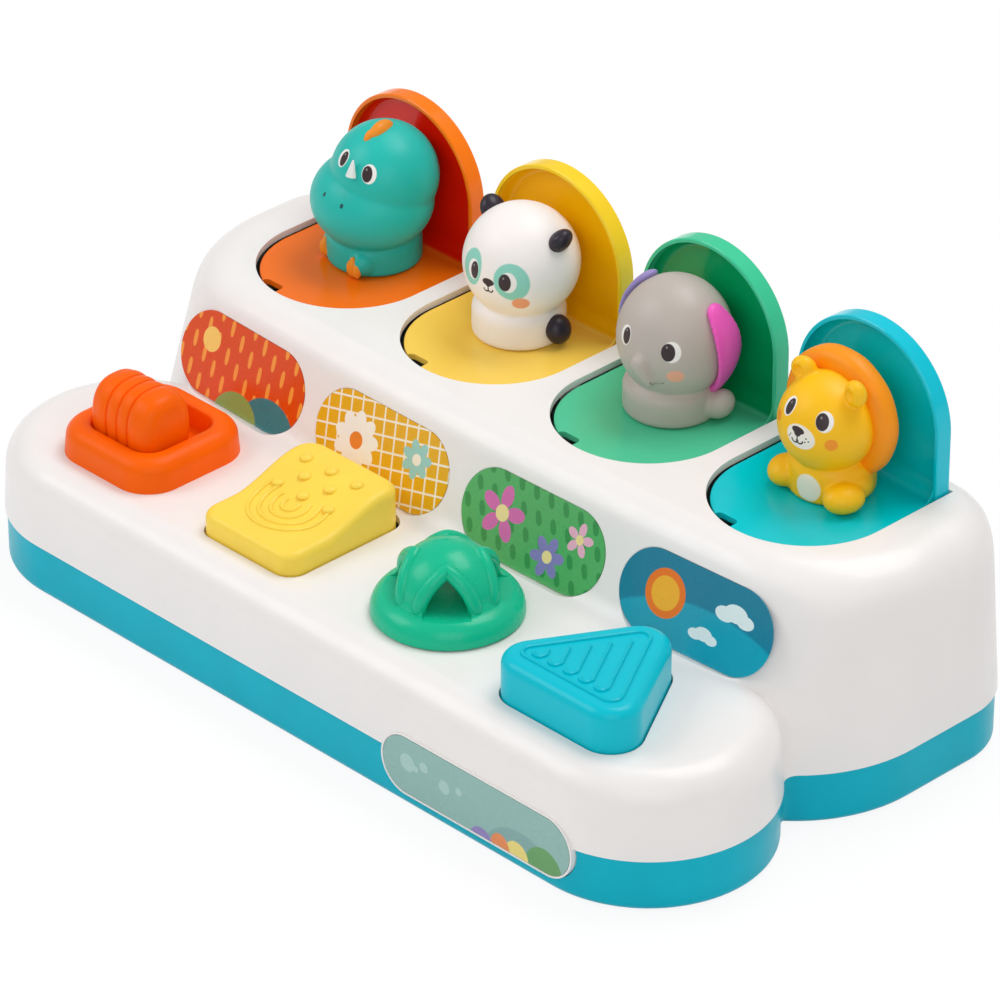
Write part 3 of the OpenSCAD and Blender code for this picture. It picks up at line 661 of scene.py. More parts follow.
def housing_cover():
    web_levels = [SEAM_H, 32, 38]
    web_levels += [DECK_H - DECK_ROUND * (1 - sin(radians(a))) for a in (10, 20, 30, 38, 45)]
    outer = join(solid(rear_rings(0, SEAM_H, REAR_H, FRONT_ROUND, FOOT_ROUND)),
                 solid(deck_rings(0, SEAM_H, DECK_H)),
                 *[solid(notch_web(side, 0, web_levels, True)) for side in (-1, 1)],
                 placed_capsule(TAB_HALF + 1, TAB_R + 1, -WALL, 0, ON_TAB))
    inner = [solid(rear_rings(WALL, SEAM_H - 1, REAR_H - WALL, INNER_ROUND)),
             solid(deck_rings(WALL, SEAM_H - 1, DECK_H - WALL))]
    openings = [prism(opening_outline(OPEN_HALF, OPEN_ARC_Y, OPEN_BACK, x), OPEN_LOW, OPEN_HIGH)
                for x in UNIT_X]
    plug_half, key_half = PLUG_HALF + 0.3, KEY_HALF + 0.6
    under_buttons = [
        shifted(rounded_rectangle(-plug_half, plug_half, -plug_half, plug_half, 1), UNIT_X[0], BUTTON_Y),
        rounded_rectangle(KEY_X - key_half, KEY_X + key_half, KEY_Y0 - 0.6, KEY_Y1 + 1.6, KEY_CORNER + 0.3),
        circle(UNIT_X[2], KNOB_Y, SPINDLE_HOLE_R, 72),
        shifted(triangle(TRI_D, TRI_R + 0.6, 16), UNIT_X[3], TRI_Y)]
    bm = cut(outer, *inner, *openings, *[prism(hole, DECK_H - 10, DECK_H + 10) for hole in under_buttons])

    def on_opening(co):
        if abs(co.z - REAR_H) > 0.05 or co.y > OPEN_BACK + 0.1:
            return False
        return any(abs(co.x - x) < OPEN_HALF + 0.05 for x in UNIT_X) and co.y > OPEN_FRONT - 0.1

    round_edges(bm, on_opening, 1.2)
    round_edges(bm, lambda co: abs(co.z - DECK_H) < 0.05 and co.y < -20 and abs(co.x) < 150, 0.6, 2)
    gap, floor_z = 0.3, -LABEL_T - 0.05
    recesses = [placed_capsule(LABEL_HALF + gap, LABEL_R + gap, floor_z, 5, on_front_wall(k))
                for k in range(4)]
    bm = cut(bm, *recesses, placed_capsule(TAB_HALF + gap, TAB_R + gap, floor_z, 5, ON_TAB))
    for (x, y), (r, top) in zip(SCREW_PLACES, POST_SIZES):
        absorb(bm, screw_post(x, y, r, SEAM_H, top))
    for x in UNIT_X:
        for side in (-1, 1):
            absorb(bm, screw_post(x + side * BRACKET_POST_X, BRACKET_POST_Y, BRACKET_POST_R,
                                  HINGE_Z - 16, REAR_H - 2, 12))
    for side in (-1, 1):
        x = KEY_X + side * (KEY_HALF + 3.6)
        x0, x1 = x - 1.75, x + 1.75
        lug = rectangle(KEY_PIN_Y - 4, KEY_PIN_Y + 4, KEY_PIN_Z - 4, DECK_H - WALL + 0.5)
        absorb(bm, bored(prism(lug, x0, x1, "X"), x0, x1, KEY_PIN_Y, KEY_PIN_Z, KEY_PIN_R + 0.05))
    piece(bm, "housing_cover", "housing", WHITE_SHELL, ["top_housing"])


def shell_body(t, low, high, round_r):
    """The bottom shell's outside, drawn in by t, with its lower edge rounded."""
    levels = [low + up for up, _ in quarter(round_r, 15)] if round_r else [low]
    levels.append(high)
    rear, deck = [], []
    for z in levels:
        below = max(0.0, round_r - (z - low))
        d = t + round_r - sqrt(max(0.0, round_r ** 2 - below ** 2))
        front = wall_front(SEAM_H) + d / cos(FRONT_LEAN)
        pts = outline(REAR_HALF - d, front, DEPTH_HALF - d, REAR_FRONT_R - d, REAR_BACK_R - d)
        rear.append(level(pts, z))
        deck.append(level(deck_outline(d), z))
    web_low = low + round_r
    web_levels = [web_low, (web_low + high) / 2, high]
    webs = [solid(notch_web(side, t, web_levels, False)) for side in (-1, 1)]
    return join(solid(rear), solid(deck), *webs)


def bottom_shell():
    outer = shell_body(SHELL_INSET, 0, SEAM_H, 3.0)
    inner = shell_body(SHELL_INSET + SHELL_WALL, SHELL_WALL, SEAM_H + 5, 0)
    posts = [prism(circle(x, y, WELL_POST_R, 36), 1, SEAM_H) for x, y in SCREW_PLACES]
    tab = placed_capsule(TAB_HALF + 1.3, TAB_R + 1.3, -4, 5, ON_TAB)
    wells = [prism(circle(x, y, SCREW_HEAD_R, 36), -2, WELL_TOP) for x, y in SCREW_PLACES]
    bores = [prism(circle(x, y, SCREW_PASS_R, 18), -2, 30) for x, y in SCREW_PLACES]
    bm = cut(join(cut(outer, inner), *posts), tab, *wells, *bores)
    round_edges(bm, lambda co: abs(co.z - SEAM_H) < 0.02 and hypot(co.x, co.y) > 60, 0.35, 2)
    for x in UNIT_X:
        for start, end in LATCH_LUGS:
            x0, x1 = x + start, x + end
            lug = join(prism(rectangle(x0, x1, LATCH_Y - LATCH_LUG_R, LATCH_Y + LATCH_LUG_R), 1, LATCH_Z),
                       prism(circle(LATCH_Y, LATCH_Z, LATCH_LUG_R, 36), x0, x1, "X"))
            absorb(bm, bored(lug, x0, x1, LATCH_Y, LATCH_Z, 2.03))
        seat = [(SEAT_R, 1), (SEAT_R, SEAT_TOP), (SPIGOT_R, SEAT_TOP + 0.01), (SPIGOT_R, SEAT_TOP + 3)]
        absorb(bm, round_solid(x, SEAT_Y, seat, 24))
    piece(bm, "bottom_shell_visible", "housing", TURQUOISE_SHELL, ["bottom_shell"])


# ---- Lids ----

def tombstone(half, low):
    """Outline of a lid: an arc over straight sides, in X and Z."""
    return arc(0, LID_ARC_Z, half, 0, 180, 72) + [(-half, low), (half, low)]


def lid(k, material):
    """A round-topped lid with its hollow, its hinge barrel and the tray that it stands on."""
    hollow_r, soft = 4.2, 0.4
    mouth = LID_HALF - LID_RIM
    sides = [(LID_FRONT_Y, LID_HALF - soft), (LID_FRONT_Y + soft, LID_HALF)]
    sides += [(LID_BACK_Y - below, LID_HALF - inward) for inward, below in quarter(0.9, 15)]
    back = solid([[(x, y, z) for x, z in tombstone(half, HINGE_Z)] for y, half in sides])
    hollow = [(LID_FRONT_Y - 1, mouth)]
    hollow += [(LID_FRONT_Y + HOLLOW_DEPTH - below, mouth - inward) for inward, below in quarter(hollow_r, 9)]
    back = cut(back, solid([[(x, y, z) for x, z in tombstone(half, TRAY_Z)] for y, half in hollow]))

    barrel = prism(circle(HINGE_Y, HINGE_Z, HINGE_C, 72), -LID_HALF, LID_HALF, "X")
    barrel = cut(barrel, prism(rectangle(-50, 50, 0, 120), TRAY_Z, 120))
    tray_low = TRAY_Z - TRAY_T
    edges = [(tray_low, soft), (tray_low + soft, 0), (TRAY_Z - 0.5, 0), (TRAY_Z - 0.15, 0.15), (TRAY_Z, 0.5)]
    tray = solid([level(opening_outline(TRAY_HALF - inward, TRAY_ARC_Y, HINGE_Y), z) for z, inward in edges])
    r, sunk = 6.5, 0.6
    fillets = []
    for x0, x1, y in ((-mouth - 0.2, mouth + 0.2, LID_FRONT_Y + HOLLOW_DEPTH),
                      (-TRAY_HALF + 0.3, -mouth - 0.1, LID_FRONT_Y),
                      (mouth + 0.1, TRAY_HALF - 0.3, LID_FRONT_Y)):
        pts = [(y + sunk, TRAY_Z - sunk), (y + sunk, TRAY_Z + r)]
        pts += arc(y - r, TRAY_Z + r, r, 0, -90, 14) + [(y - r, TRAY_Z - sunk)]
        fillets.append(prism(pts, x0, x1, "X"))
    bm = join(back, barrel, tray, *fillets)

    def gap_in_barrel(x0, x1, r):
        """Room for what holds the pin: open below it, with a round end of radius r above."""
        block = rectangle(x0, x1, HINGE_Y - BARREL_REACH, HINGE_Y + BARREL_REACH)
        return [prism(block, HINGE_Z - BARREL_REACH, HINGE_Z + 0.8),
                prism(circle(HINGE_Y, HINGE_Z, r, 24), x0, x1, "X")]

    notch = rounded_rectangle(NOTCH_X - 4.8, NOTCH_X + 4.8, OPEN_FRONT - 6, OPEN_FRONT + 7, 2, 5)
    pin_bore = prism(circle(HINGE_Y, HINGE_Z, 2.05, 24), -PIN_HALF, PIN_HALF, "X")
    bm = cut(bm, prism(notch, TRAY_Z - 7, TRAY_Z + 3), pin_bore, *gap_in_barrel(-9, 9, 3.7),
             *gap_in_barrel(-PIN_HALF, 5 - PIN_HALF, 4.15), *gap_in_barrel(PIN_HALF - 5, PIN_HALF, 4.15))
    unit = UNITS[k]
    piece(moved(bm, UNIT_X[k]), unit + "_lid_visible", FIGURES[k] + "_unit", material,
          [unit + "_lid"], sharp=24)


def lid_plastic(k, outside, hollow, tray):
    """Glossy lid of one plastic: its own colour outside, a deeper colour painted in the hollow as painted
    shade, and a tone of its own on the tray.
    """
    finish = Finish(UNITS[k] + "_lid_plastic", outside, 0.18, 0.15, 0.22)
    half = LID_HALF - LID_RIM - 0.1
    inner = finish.split(finish.local((UNIT_X[k], 0, 0), scale=(half, 1, 1)))
    between = finish.ramp(finish.math("ABSOLUTE", inner["X"]), 1.0, 0.985)
    where = finish.split(finish.where)
    disc = finish.local((UNIT_X[k], 0, LID_ARC_Z), scale=(half, 1000, half))
    in_disc = finish.ramp(finish.length(disc), 1.005, 0.985)
    below = finish.ramp(where["Z"], (LID_ARC_Z + 0.5) * MM, LID_ARC_Z * MM)
    inside = finish.math("MAXIMUM", in_disc, finish.times(below, between))
    floor_y = LID_FRONT_Y + HOLLOW_DEPTH
    ahead = finish.ramp(where["Y"], (floor_y + 0.4) * MM, (floor_y + 0.1) * MM)
    # Painted shade: the hollow's walls and floor get the deeper colour that shade gives this plastic in the
    # recess.
    finish.paint(hollow, finish.times(inside, ahead))
    near_tray = finish.ramp(where["Z"], (TRAY_Z + 12) * MM, (TRAY_Z + 0.5) * MM)
    finish.paint(tray, finish.times(near_tray, finish.ramp(where["Y"], 0.0765, 0.0745)))
    return finish.done(mottle=0.01, grain=0.000008, rough_spread=0.03)


# ---- Buttons ----

def slider_bezel():
    rim, side_r, lip_r = DECK_H + 12, 5.5, 1.7
    rings = [(26.0, 14.0, DECK_H - 0.4), (26.3, 14.0, DECK_H + 0.1)]
    rings += [(25.9 - inward, 14 - inward * 0.7, rim - below) for inward, below in quarter(side_r, 9)]
    rings.append((19.4, 9.6, rim))
    for a in range(15, 91, 15):
        share = sin(radians(a))
        rings.append((19.2 - lip_r * share, 9.4 - 1.4 * share, rim - lip_r * (1 - cos(radians(a)))))
    rings += [(17.2, 7.8, DECK_H + 4.5), (16.6, 7.2, DECK_H + 3.2), (16.0, 6.6, DECK_H + 3)]

    def outline_at(half, r):
        return shifted(rounded_rectangle(-half, half, -half, half, r, 14), UNIT_X[0], BUTTON_Y)

    bm = solid([level(outline_at(half, r), z) for half, r, z in rings])
    plug = shifted(rounded_rectangle(-PLUG_HALF, PLUG_HALF, -PLUG_HALF, PLUG_HALF, 1, 3), UNIT_X[0], BUTTON_Y)
    slot = shifted(rounded_rectangle(-4, 4, -11, 8.6, 1, 3), UNIT_X[0], BUTTON_Y)
    bm = cut(join(bm, prism(plug, DECK_H - 2.7, DECK_H)), prism(slot, DECK_H - 8, DECK_H + 8))
    piece(bm, "slider_bezel_visible", "housing", ORANGE_SOFT, ["slider_bezel"])


def slider_knob():
    """A grooved barrel that lies across its slot, on a stem with the foot that tips its latch."""
    x, cy, cz = UNIT_X[0], BUTTON_Y - 5, DECK_H + 14.8
    half, across, height, end_r, bands, steps = 15.7, 11.6, 14.4, 4.6, 4, 10
    band = 2 * (half - end_r) / bands
    end = [(inward - half, below) for inward, below in quarter(end_r, 10)[:-1]]
    stations = end[:]
    for i in range(bands * steps):
        t = i % steps
        groove = 0.75 if t == 0 and i else 0.0
        stations.append((end_r - half + i * band / steps, groove - sin(pi * t / steps) * 0.5))
    stations += [(-along, drop) for along, drop in end[::-1]]

    def squared(value):
        """Swells a round section toward a square one."""
        return abs(value) ** 0.8 * (1 if value > 0 else -1)

    bm = solid([[(x + along, cy + (across - drop) * squared(cos(a * pi / 32)),
                  cz + (height - drop) * squared(sin(a * pi / 32))) for a in range(64)]
                for along, drop in stations])
    bm = cut(bm, prism(rectangle(x - 30, x + 30, cy - 20, cy + 20), -20, DECK_H + 3.5))
    stem = prism(rectangle(x - 3, x + 3, cy - 3.5, cy + 3.5), DECK_H - 6, cz)
    front, top, low, ramp_y, back = cy - 12, DECK_H - 5.5, LATCH_Z + 4.1, cy + 5, cy + 8
    slope = (LATCH_Y - BUTTON_Y) * sin(radians(LATCH_TILT)) / SLIDER_TRAVEL
    foot = [(back, top), (front, top), (front, low - 7 * slope), (ramp_y, low), (back, low)]
    bm = join(bm, stem, prism(foot, x - 5, x + 5, "X"))
    piece(bm, "slider_knob_visible", "slider", ORANGE_SOFT, ["slider_knob"])


def key_top(y):
    """Height of the rocker key's top: low and flat in front, rising in a curve to the back."""
    t = max(0.0, min(1.0, (y - KEY_RAMP_Y) / KEY_RAMP))
    return KEY_LOW + KEY_RISE * t * t * (3 - 2 * t)


def rocker_key():
    cy = (KEY_Y0 + KEY_Y1) / 2
    long = (KEY_Y1 - KEY_Y0) / 2
    edge, rings_inside = 3.2, 29

    def ring(inward, drop, share=1.0):
        half, reach, corner = KEY_HALF - inward, long - inward, KEY_CORNER - inward * 0.7
        pts = with_side_points(rounded_rectangle(-half, half, -reach, reach, corner, 10), 14)
        return [(KEY_X + px * share, cy + py * share, key_top(cy + py * share) - drop) for px, py in pts]

    foot = [(x, y) for x, y, _ in ring(0, 0)]
    skirt = [level(foot, DECK_H - 4.5), level(foot, DECK_H + 0.6)]
    skirt += [ring(inward, below) for inward, below in quarter(edge, 10)]
    skirt += [ring(edge, 0, 1 - i * 0.033) for i in range(1, rings_inside + 1)]
    wall = 2.2
    inside = rounded_rectangle(wall - KEY_HALF, KEY_HALF - wall, 7 - long, long - wall, 4, 5)
    bm = cut(solid(skirt), prism(shifted(inside, KEY_X, cy), DECK_H - 6, DECK_H + 6))
    post = rectangle(KEY_X - 3.5, KEY_X + 3.5, BUTTON_Y + 6, BUTTON_Y + 10)
    lip = rectangle(KEY_X - 10, KEY_X + 10, KEY_Y1 - wall, KEY_Y1 + 3.2)
    bm = join(bm, prism(post, LATCH_Z + 4.4, DECK_H + 8), prism(lip, DECK_H - 4.5, DECK_H - 3.1))
    for side in (-1, 1):
        end = KEY_X + side * (KEY_HALF + 1.6)
        absorb(bm, prism(circle(KEY_PIN_Y, KEY_PIN_Z, KEY_PIN_R, 24), end - 3.5, end + 3.5, "X"))
        end = KEY_X + side * (KEY_HALF - 3)
        web = rectangle(KEY_Y0 + 0.4, KEY_PIN_Y + 4, KEY_PIN_Z - 3, DECK_H - 2.5)
        absorb(bm, prism(web, end - 3, end + 2.8, "X"))
    for r in (3.2, 7.2, 11.4, 15.4):
        path = [(x, y, key_top(y)) for x, y in arc(KEY_X - 1.4, BUTTON_Y - 1.2, r, 160, 385, 40)]
        absorb(bm, ridge(path, 1.7, 0.8))
    for row in range(3):
        y = BUTTON_Y + 4 + 6.8 * row
        for i in range(-2, 3):
            if (i + row) % 2 == 0:
                dot = bmesh.new()
                bmesh.ops.create_uvsphere(dot, u_segments=20, v_segments=10, radius=2.5)
                bmesh.ops.scale(dot, vec=(1, 1, 0.5), verts=dot.verts)
                absorb(bm, moved(dot, KEY_X - 0.6 + 6.5 * i, y, key_top(y) + 0.1))
    piece(bm, "rocker_key_visible", "key", YELLOW_SOFT, ["rocker_key"])


def pointed_arch(half, height, low):
    """Upright outline of a pointed arch, as (across, up), struck from its two feet."""
    reach = 2 * half
    right = arc(-half, low, reach, 0, 60, 14)
    left = arc(half, low, reach, 120, 180, 14)
    scale = height / (reach * sin(radians(60)))
    return [(px, low + (pz - low) * scale) for px, pz in right + left[1:]]


def rotary_knob():
    """A domed knob with a flange and four pointed windows into its hollow."""
    x, y, foot_z = UNIT_X[2], KNOB_Y, DECK_H + 0.3
    dome, dome_z, flat, wall = 19.0, DECK_H + 9.5, 0.92, 2.6
    flange, flange_r, hollow_z = 26.9, 7.5, DECK_H + 8.8
    profile = [(14, DECK_H - 2.8), (14, foot_z), (flange - 0.5, foot_z), (flange, foot_z + 0.5)]
    profile += arc(flange - flange_r, DECK_H + 1.9, flange_r, 0, 82, 14)
    profile += [(max(r, 0.05), dome_z + (z - dome_z) * flat) for r, z in arc(0, dome_z, dome, 6, 90, 26)]
    windows, rims = [], []
    for turn in (45, 135, 225, 315):
        matrix = Matrix.Translation((x, y, 0)) @ Matrix.Rotation(radians(turn - 90), 4, "Z")
        window = prism(pointed_arch(8.4, 13.7, hollow_z), 4, 40, "Y")
        rim = tube([(px, sqrt(dome ** 2 - px ** 2 - ((pz - dome_z) / flat) ** 2) - 1.3, pz)
                    for px, pz in pointed_arch(9.8, 15.5, DECK_H + 7.4)], 2.7, 4)
        for shape in (window, rim):
            place(shape, shape.verts, matrix)
        windows.append(window)
        rims.append(rim)
    hollow = bmesh.new()
    bmesh.ops.create_uvsphere(hollow, u_segments=64, v_segments=32, radius=dome - wall)
    bmesh.ops.scale(hollow, vec=(1, 1, flat), verts=hollow.verts)
    moved(hollow, x, y, dome_z)
    trim_below(hollow, hollow_z)
    bm = cut(round_solid(x, y, profile, 128), hollow, *windows)
    bm = join(bm, prism(circle(x, y, 10, 36), DECK_H - 9, DECK_H - 2.5))
    round_edges(bm, lambda co: co.z > DECK_H + 8.0 and hypot(co.x - x, co.y - y) > dome - 2.0, 0.55)
    for rim in rims:
        absorb(bm, rim)
    piece(bm, "rotary_knob_visible", "knob", GREEN_SOFT, ["rotary_knob"])


def triangle_button():
    """A triangular button with a raised border and a row of slanted hooks."""
    x, top, edge, flange = UNIT_X[3], DECK_H + 16, 4.2, TRI_R + 2.2
    rib, rib_h = 1.5, 0.95
    rings = [(flange, DECK_H - 5.5), (flange, DECK_H - 3.2), (TRI_R, DECK_H - 3.1)]
    rings += [(TRI_R - inward, top - below) for inward, below in quarter(edge, 9)]
    hollow = [(TRI_R - 2.4, DECK_H - 7), (TRI_R - 2.4, top - 4.5), (TRI_R - 4.5, top - 2.2)]
    bm = cut(solid([level(shifted(triangle(TRI_D, r, 18), x, TRI_Y), z) for r, z in rings]),
             solid([level(shifted(triangle(TRI_D, r, 12), x, TRI_Y), z) for r, z in hollow]))
    border = level(shifted(triangle(TRI_D, 3.8, 10), x, TRI_Y), top)
    absorb(bm, ridge(border, rib, rib_h, closed=True))
    lean, spacing = Vector((-0.5, 0.866)), 7.3
    for i in range(5):
        foot = Vector((x - 14.1 + spacing * i, TRI_Y - 9.4))
        rise = max(spacing * (i + 1) * 0.93 - 3.4, 2.0)
        hook = [(foot.x - 4.2 + 2.1 * (1 - cos(radians(a))), foot.y - 0.6 - 1.6 * sin(radians(a)))
                for a in range(20, 150, 20)]
        start = foot + Vector((0.0, 0.6))
        absorb(bm, ridge(level(hook + [start, start + lean * rise], top), rib, rib_h))
    tip = LATCH_Z + 2.5
    absorb(bm, round_solid(x, BUTTON_Y, [(1.2, tip), (2.4, tip + 1), (3, tip + 2.9), (3, top - 2)], 24))
    piece(bm, "triangle_button_visible", "push", BLUE_SOFT, ["triangle_button"])


# ---- Labels ----

class Print(Finish):
    """A printed label: its pattern is laid out in millimetres on the label's own plane."""

    def __init__(self, name, ground, centre, turn):
        super().__init__(name, ground, 0.3, 0.1, 0.4)
        self.flat = self.local(centre, turn)

    def turned(self, x, y, turn=0.0, wide=1.0, high=1.0):
        """The label's plane, moved to a point, turned by degrees and measured in widths and heights."""
        return self.framed(self.flat, (x, y, 0), (0, 0, turn), (wide, high, 1000))

    def oval(self, colour, x, y, wide, high, turn=0.0):
        self.paint(colour, self.ramp(self.length(self.turned(x, y, turn, wide, high)), 1.03, 0.99))

    def cell(self, value, gap, shift=0.0):
        """Place inside a repeated cell, from -0.5 to 0.5."""
        cells = self.math("ADD", self.math("DIVIDE", value, gap), shift)
        return self.math("SUBTRACT", self.math("FRACT", cells), 0.5)

    def dashes(self, colour, gap, size, turn=0.0):
        """Rows of upright dashes, each column shifted against the next."""
        plane = self.split(self.turned(0, 0, turn))
        column = self.math("FLOOR", self.math("DIVIDE", plane["X"], gap[0]))
        shift = self.math("FRACT", self.times(column, 0.382))
        u = self.times(self.cell(plane["X"], gap[0]), gap[0] / size[0] * 2)
        v = self.times(self.cell(plane["Y"], gap[1], shift), gap[1] / size[1] * 2)
        reach = self.math("ADD", self.times(u, u), self.math("POWER", self.math("ABSOLUTE", v), 3.0))
        self.paint(colour, self.ramp(reach, 1.15, 0.9))

    def grid(self, colour, gap, thick, turn):
        plane = self.split(self.turned(0, 0, turn))
        u = self.math("ABSOLUTE", self.cell(plane["X"], gap))
        v = self.math("ABSOLUTE", self.cell(plane["Y"], gap))
        edge = 0.5 - thick / gap / 2
        self.paint(colour, self.ramp(self.math("MAXIMUM", u, v), edge - 0.012, edge + 0.012))

    def flower(self, petal, heart, x, y, size, petals):
        for i in range(petals):
            angle = 360 / petals * i + 12
            out = size * 0.62
            self.oval(petal, x + out * cos(radians(angle)), y + out * sin(radians(angle)),
                      size * 0.42, size * 0.27, angle)
        self.oval(heart, x, y, size * 0.3, size * 0.3)


def wall_print(k, ground):
    """A print on the label in front of one lid."""
    x = UNIT_X[k]
    turn = (90 - degrees(FRONT_LEAN), 0, degrees(wall_yaw(x)))
    return Print(UNITS[k] + "_print", ground, (x, FRONT_WALL_Y + bow(x), LABEL_Z), turn)


def orange_print():
    made = wall_print(0, "#e24c00")
    made.dashes("#fba23a", (6.0, 10.6), (1.9, 6.4), 4)
    made.oval("#2e8087", 19, -17, 15, 13)
    made.oval("#8aa552", 2, -19, 12, 11)
    made.oval("#ffd36b", -19, 5, 4.6, 4.6)
    return made


def yellow_print():
    made = wall_print(1, "#edb21a")
    made.grid("#fbf4e2", 5.6, 0.75, 12)
    made.flower("#fdfaf2", "#f08a2c", -13, -1, 10.5, 9)
    made.flower("#9fd3cb", "#fbf4e2", 17, 3.5, 7.0, 7)
    return made


def green_print():
    made = wall_print(2, "#58b368")
    made.dashes("#3b9650", (6.4, 9.0), (2.6, 5.4), 24)
    for petal, x, y, size, petals in (("#e070b4", -15, 1, 10.0, 5), ("#8c84c4", 9, -6, 7.5, 6),
                                      ("#f3b6cf", 21, 5, 6.0, 5)):
        made.flower(petal, "#fbe3a0", x, y, size, petals)
    return made


def blue_print():
    made = wall_print(3, "#127f9c")
    made.oval("#17a2bb", 6, -30, 52, 32)
    made.oval("#f3791d", -14, 1.5, 8.6, 8.6)
    made.oval("#fbb62d", -14, 1.5, 6.0, 6.0)
    for x, y, size in ((12, 4, 4.2), (16.5, 5.5, 5.0), (21, 4, 3.8),
                       (2, -7, 3.0), (5.5, -6, 3.8), (9, -7, 2.8)):
        made.oval("#e4f2f3", x, y, size, size * 0.62)
    return made


def front_print():
    made = Print("front_print", "#8fb9b2", (TAB_X, -DEPTH_HALF, TAB_Z), (90, 0, 0))
    for x, size in ((-33, 3.4), (-25, 2.0), (-29, 1.3), (-15, 2.6), (-8, 1.5)):
        made.oval("#a9cdc7", x, 1.5 + size * 0.8 * cos(x), size, size)
    for colour, x, y, wide, high in (("#7fa9a6", 22, -14, 17, 13), ("#5f9f5c", 33, -12, 9, 10),
                                     ("#f0dc7c", 20, -11.5, 5.6, 6), ("#ec8a4a", 12, -12, 4.6, 6),
                                     ("#8f7fc0", 3, -12, 5, 4.2)):
        made.oval(colour, x, y, wide, high)
    return made


def finish_nodes(material, *nodes):
    """Gives nodes that come straight from the frame their material."""
    for node in nodes:
        for material_slot in frame["nodes"][node].material_slots:
            material_slot.material = material


# ---- Springs ----

def wound(centre, start, axis, pitch, wire, turns):
    """A helical wire: a small circle that starts beside the centre and is spun round an axis."""
    bm = bmesh.new()
    ring = bmesh.ops.create_circle(bm, segments=10, radius=wire)["verts"]
    if axis.z:
        bmesh.ops.rotate(bm, cent=(0, 0, 0), matrix=Matrix.Rotation(pi / 2, 3, "X"), verts=ring)
    bmesh.ops.translate(bm, vec=start, verts=ring)
    steps = 24
    bmesh.ops.spin(bm, geom=ring + bm.edges[:], cent=centre, axis=axis, dvec=axis * pitch / steps,
                   angle=2 * pi * turns, steps=steps * turns, use_merge=False)
    bmesh.ops.holes_fill(bm, edges=[edge for edge in bm.edges if edge.is_boundary])
    return bm


def coil(bm, name):
    """Makes a wound wire the visible form of its CAD node."""
    return piece(bm, name + "_coil", "housing", SPRING_STEEL, [name], 60, weighted=False)


def lid_spring(k):
    """Torsion coil round the hinge pin, with two legs down to the bracket."""
    wire, mean, half, turns = 0.42, 2.9, 7.4, 16
    x = UNIT_X[k]
    centre = Vector((x - half, HINGE_Y, HINGE_Z))
    bm = wound(centre, centre + Vector((0, mean, 0)), Vector((1, 0, 0)), 2 * half / turns, wire, turns)
    for end in (-half, half):
        absorb(bm, prism(circle(x + end, HINGE_Y + mean, wire, 12), HINGE_Z - 15.9, HINGE_Z))
    coil(bm, UNITS[k] + "_lid_spring")


def latch_spring(k):
    """Compression coil between its seat in the bottom shell and the latch's arm."""
    wire, mean, turns = 0.45, 3.5, 9
    name = UNITS[k] + "_latch_spring"
    low, high = node_box(name)
    centre = Vector(((low.x + high.x) / 2, (low.y + high.y) / 2, low.z + wire))
    rise = high.z - low.z - 2 * wire
    bm = wound(centre, centre + Vector((mean, 0, 0)), Vector((0, 0, 1)), rise / turns, wire, turns)
    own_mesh(coil(bm, name))


# ---- Figures ----
# Places are in millimetres, with X from the middle of the figure's own lid.

DARK = "#35262a"
VINYL = {"mottle": 0.012, "grain": 0.00003, "rough_spread": 0.04}
SCREW_Y = 57


def vinyl(name, colour, rough=0.42):
    return plastic("vinyl_" + name, colour, rough, **VINYL)


def blob(bm, centre, radii, turn=(0, 0, 0), segments=40):
    """An egg shape, turned about its middle by degrees."""
    made = bmesh.ops.create_uvsphere(bm, u_segments=segments, v_segments=segments // 2, radius=1.0)["verts"]
    matrix = Matrix.Translation(centre)
    for angle, axis in zip(turn[::-1], "ZYX"):
        matrix = matrix @ Matrix.Rotation(radians(angle), 4, axis)
    place(bm, made, matrix @ Matrix.Diagonal((*radii, 1)))


def foot_column(bm, r, top, edge=1.6, y=56.8):
    """The round foot that a figure stands on, flat underneath and soft above."""
    profile = [(r - below, TRAY_Z + up) for up, below in quarter(edge, 30)]
    profile += [(r - inward, top - below) for inward, below in quarter(5, 15)]
    absorb(bm, round_solid(0, y, profile, 60))


def bore(bm):
    """The hole for the screw that holds a figure on its tray."""
    return cut(bm, prism(circle(0, SCREW_Y, SCREW_HOLE_R, 18), TRAY_Z - 3, TRAY_Z + 10))


def figure_piece(k, bm, part, material, replaces=()):
    figure = FIGURES[k]
    piece(moved(bm, UNIT_X[k]), figure + "_" + part, figure + "_unit", material, replaces, 50,
          weighted=False)


def facing(yaw, pitch):
    """Direction that is yaw degrees to +X of the front and pitch degrees up."""
    yaw, pitch = radians(yaw), radians(pitch)
    return Vector((sin(yaw) * cos(pitch), -cos(yaw) * cos(pitch), sin(pitch)))


def on_ball(centre, radii, yaw, pitch):
    """Point of an egg shape whose surface faces that way."""
    n = facing(yaw, pitch)
    r = Vector(radii)
    reach = Vector((n.x * r.x ** 2, n.y * r.y ** 2, n.z * r.z ** 2))
    return Vector(centre) + reach / sqrt(sum((n[i] * r[i]) ** 2 for i in range(3)))


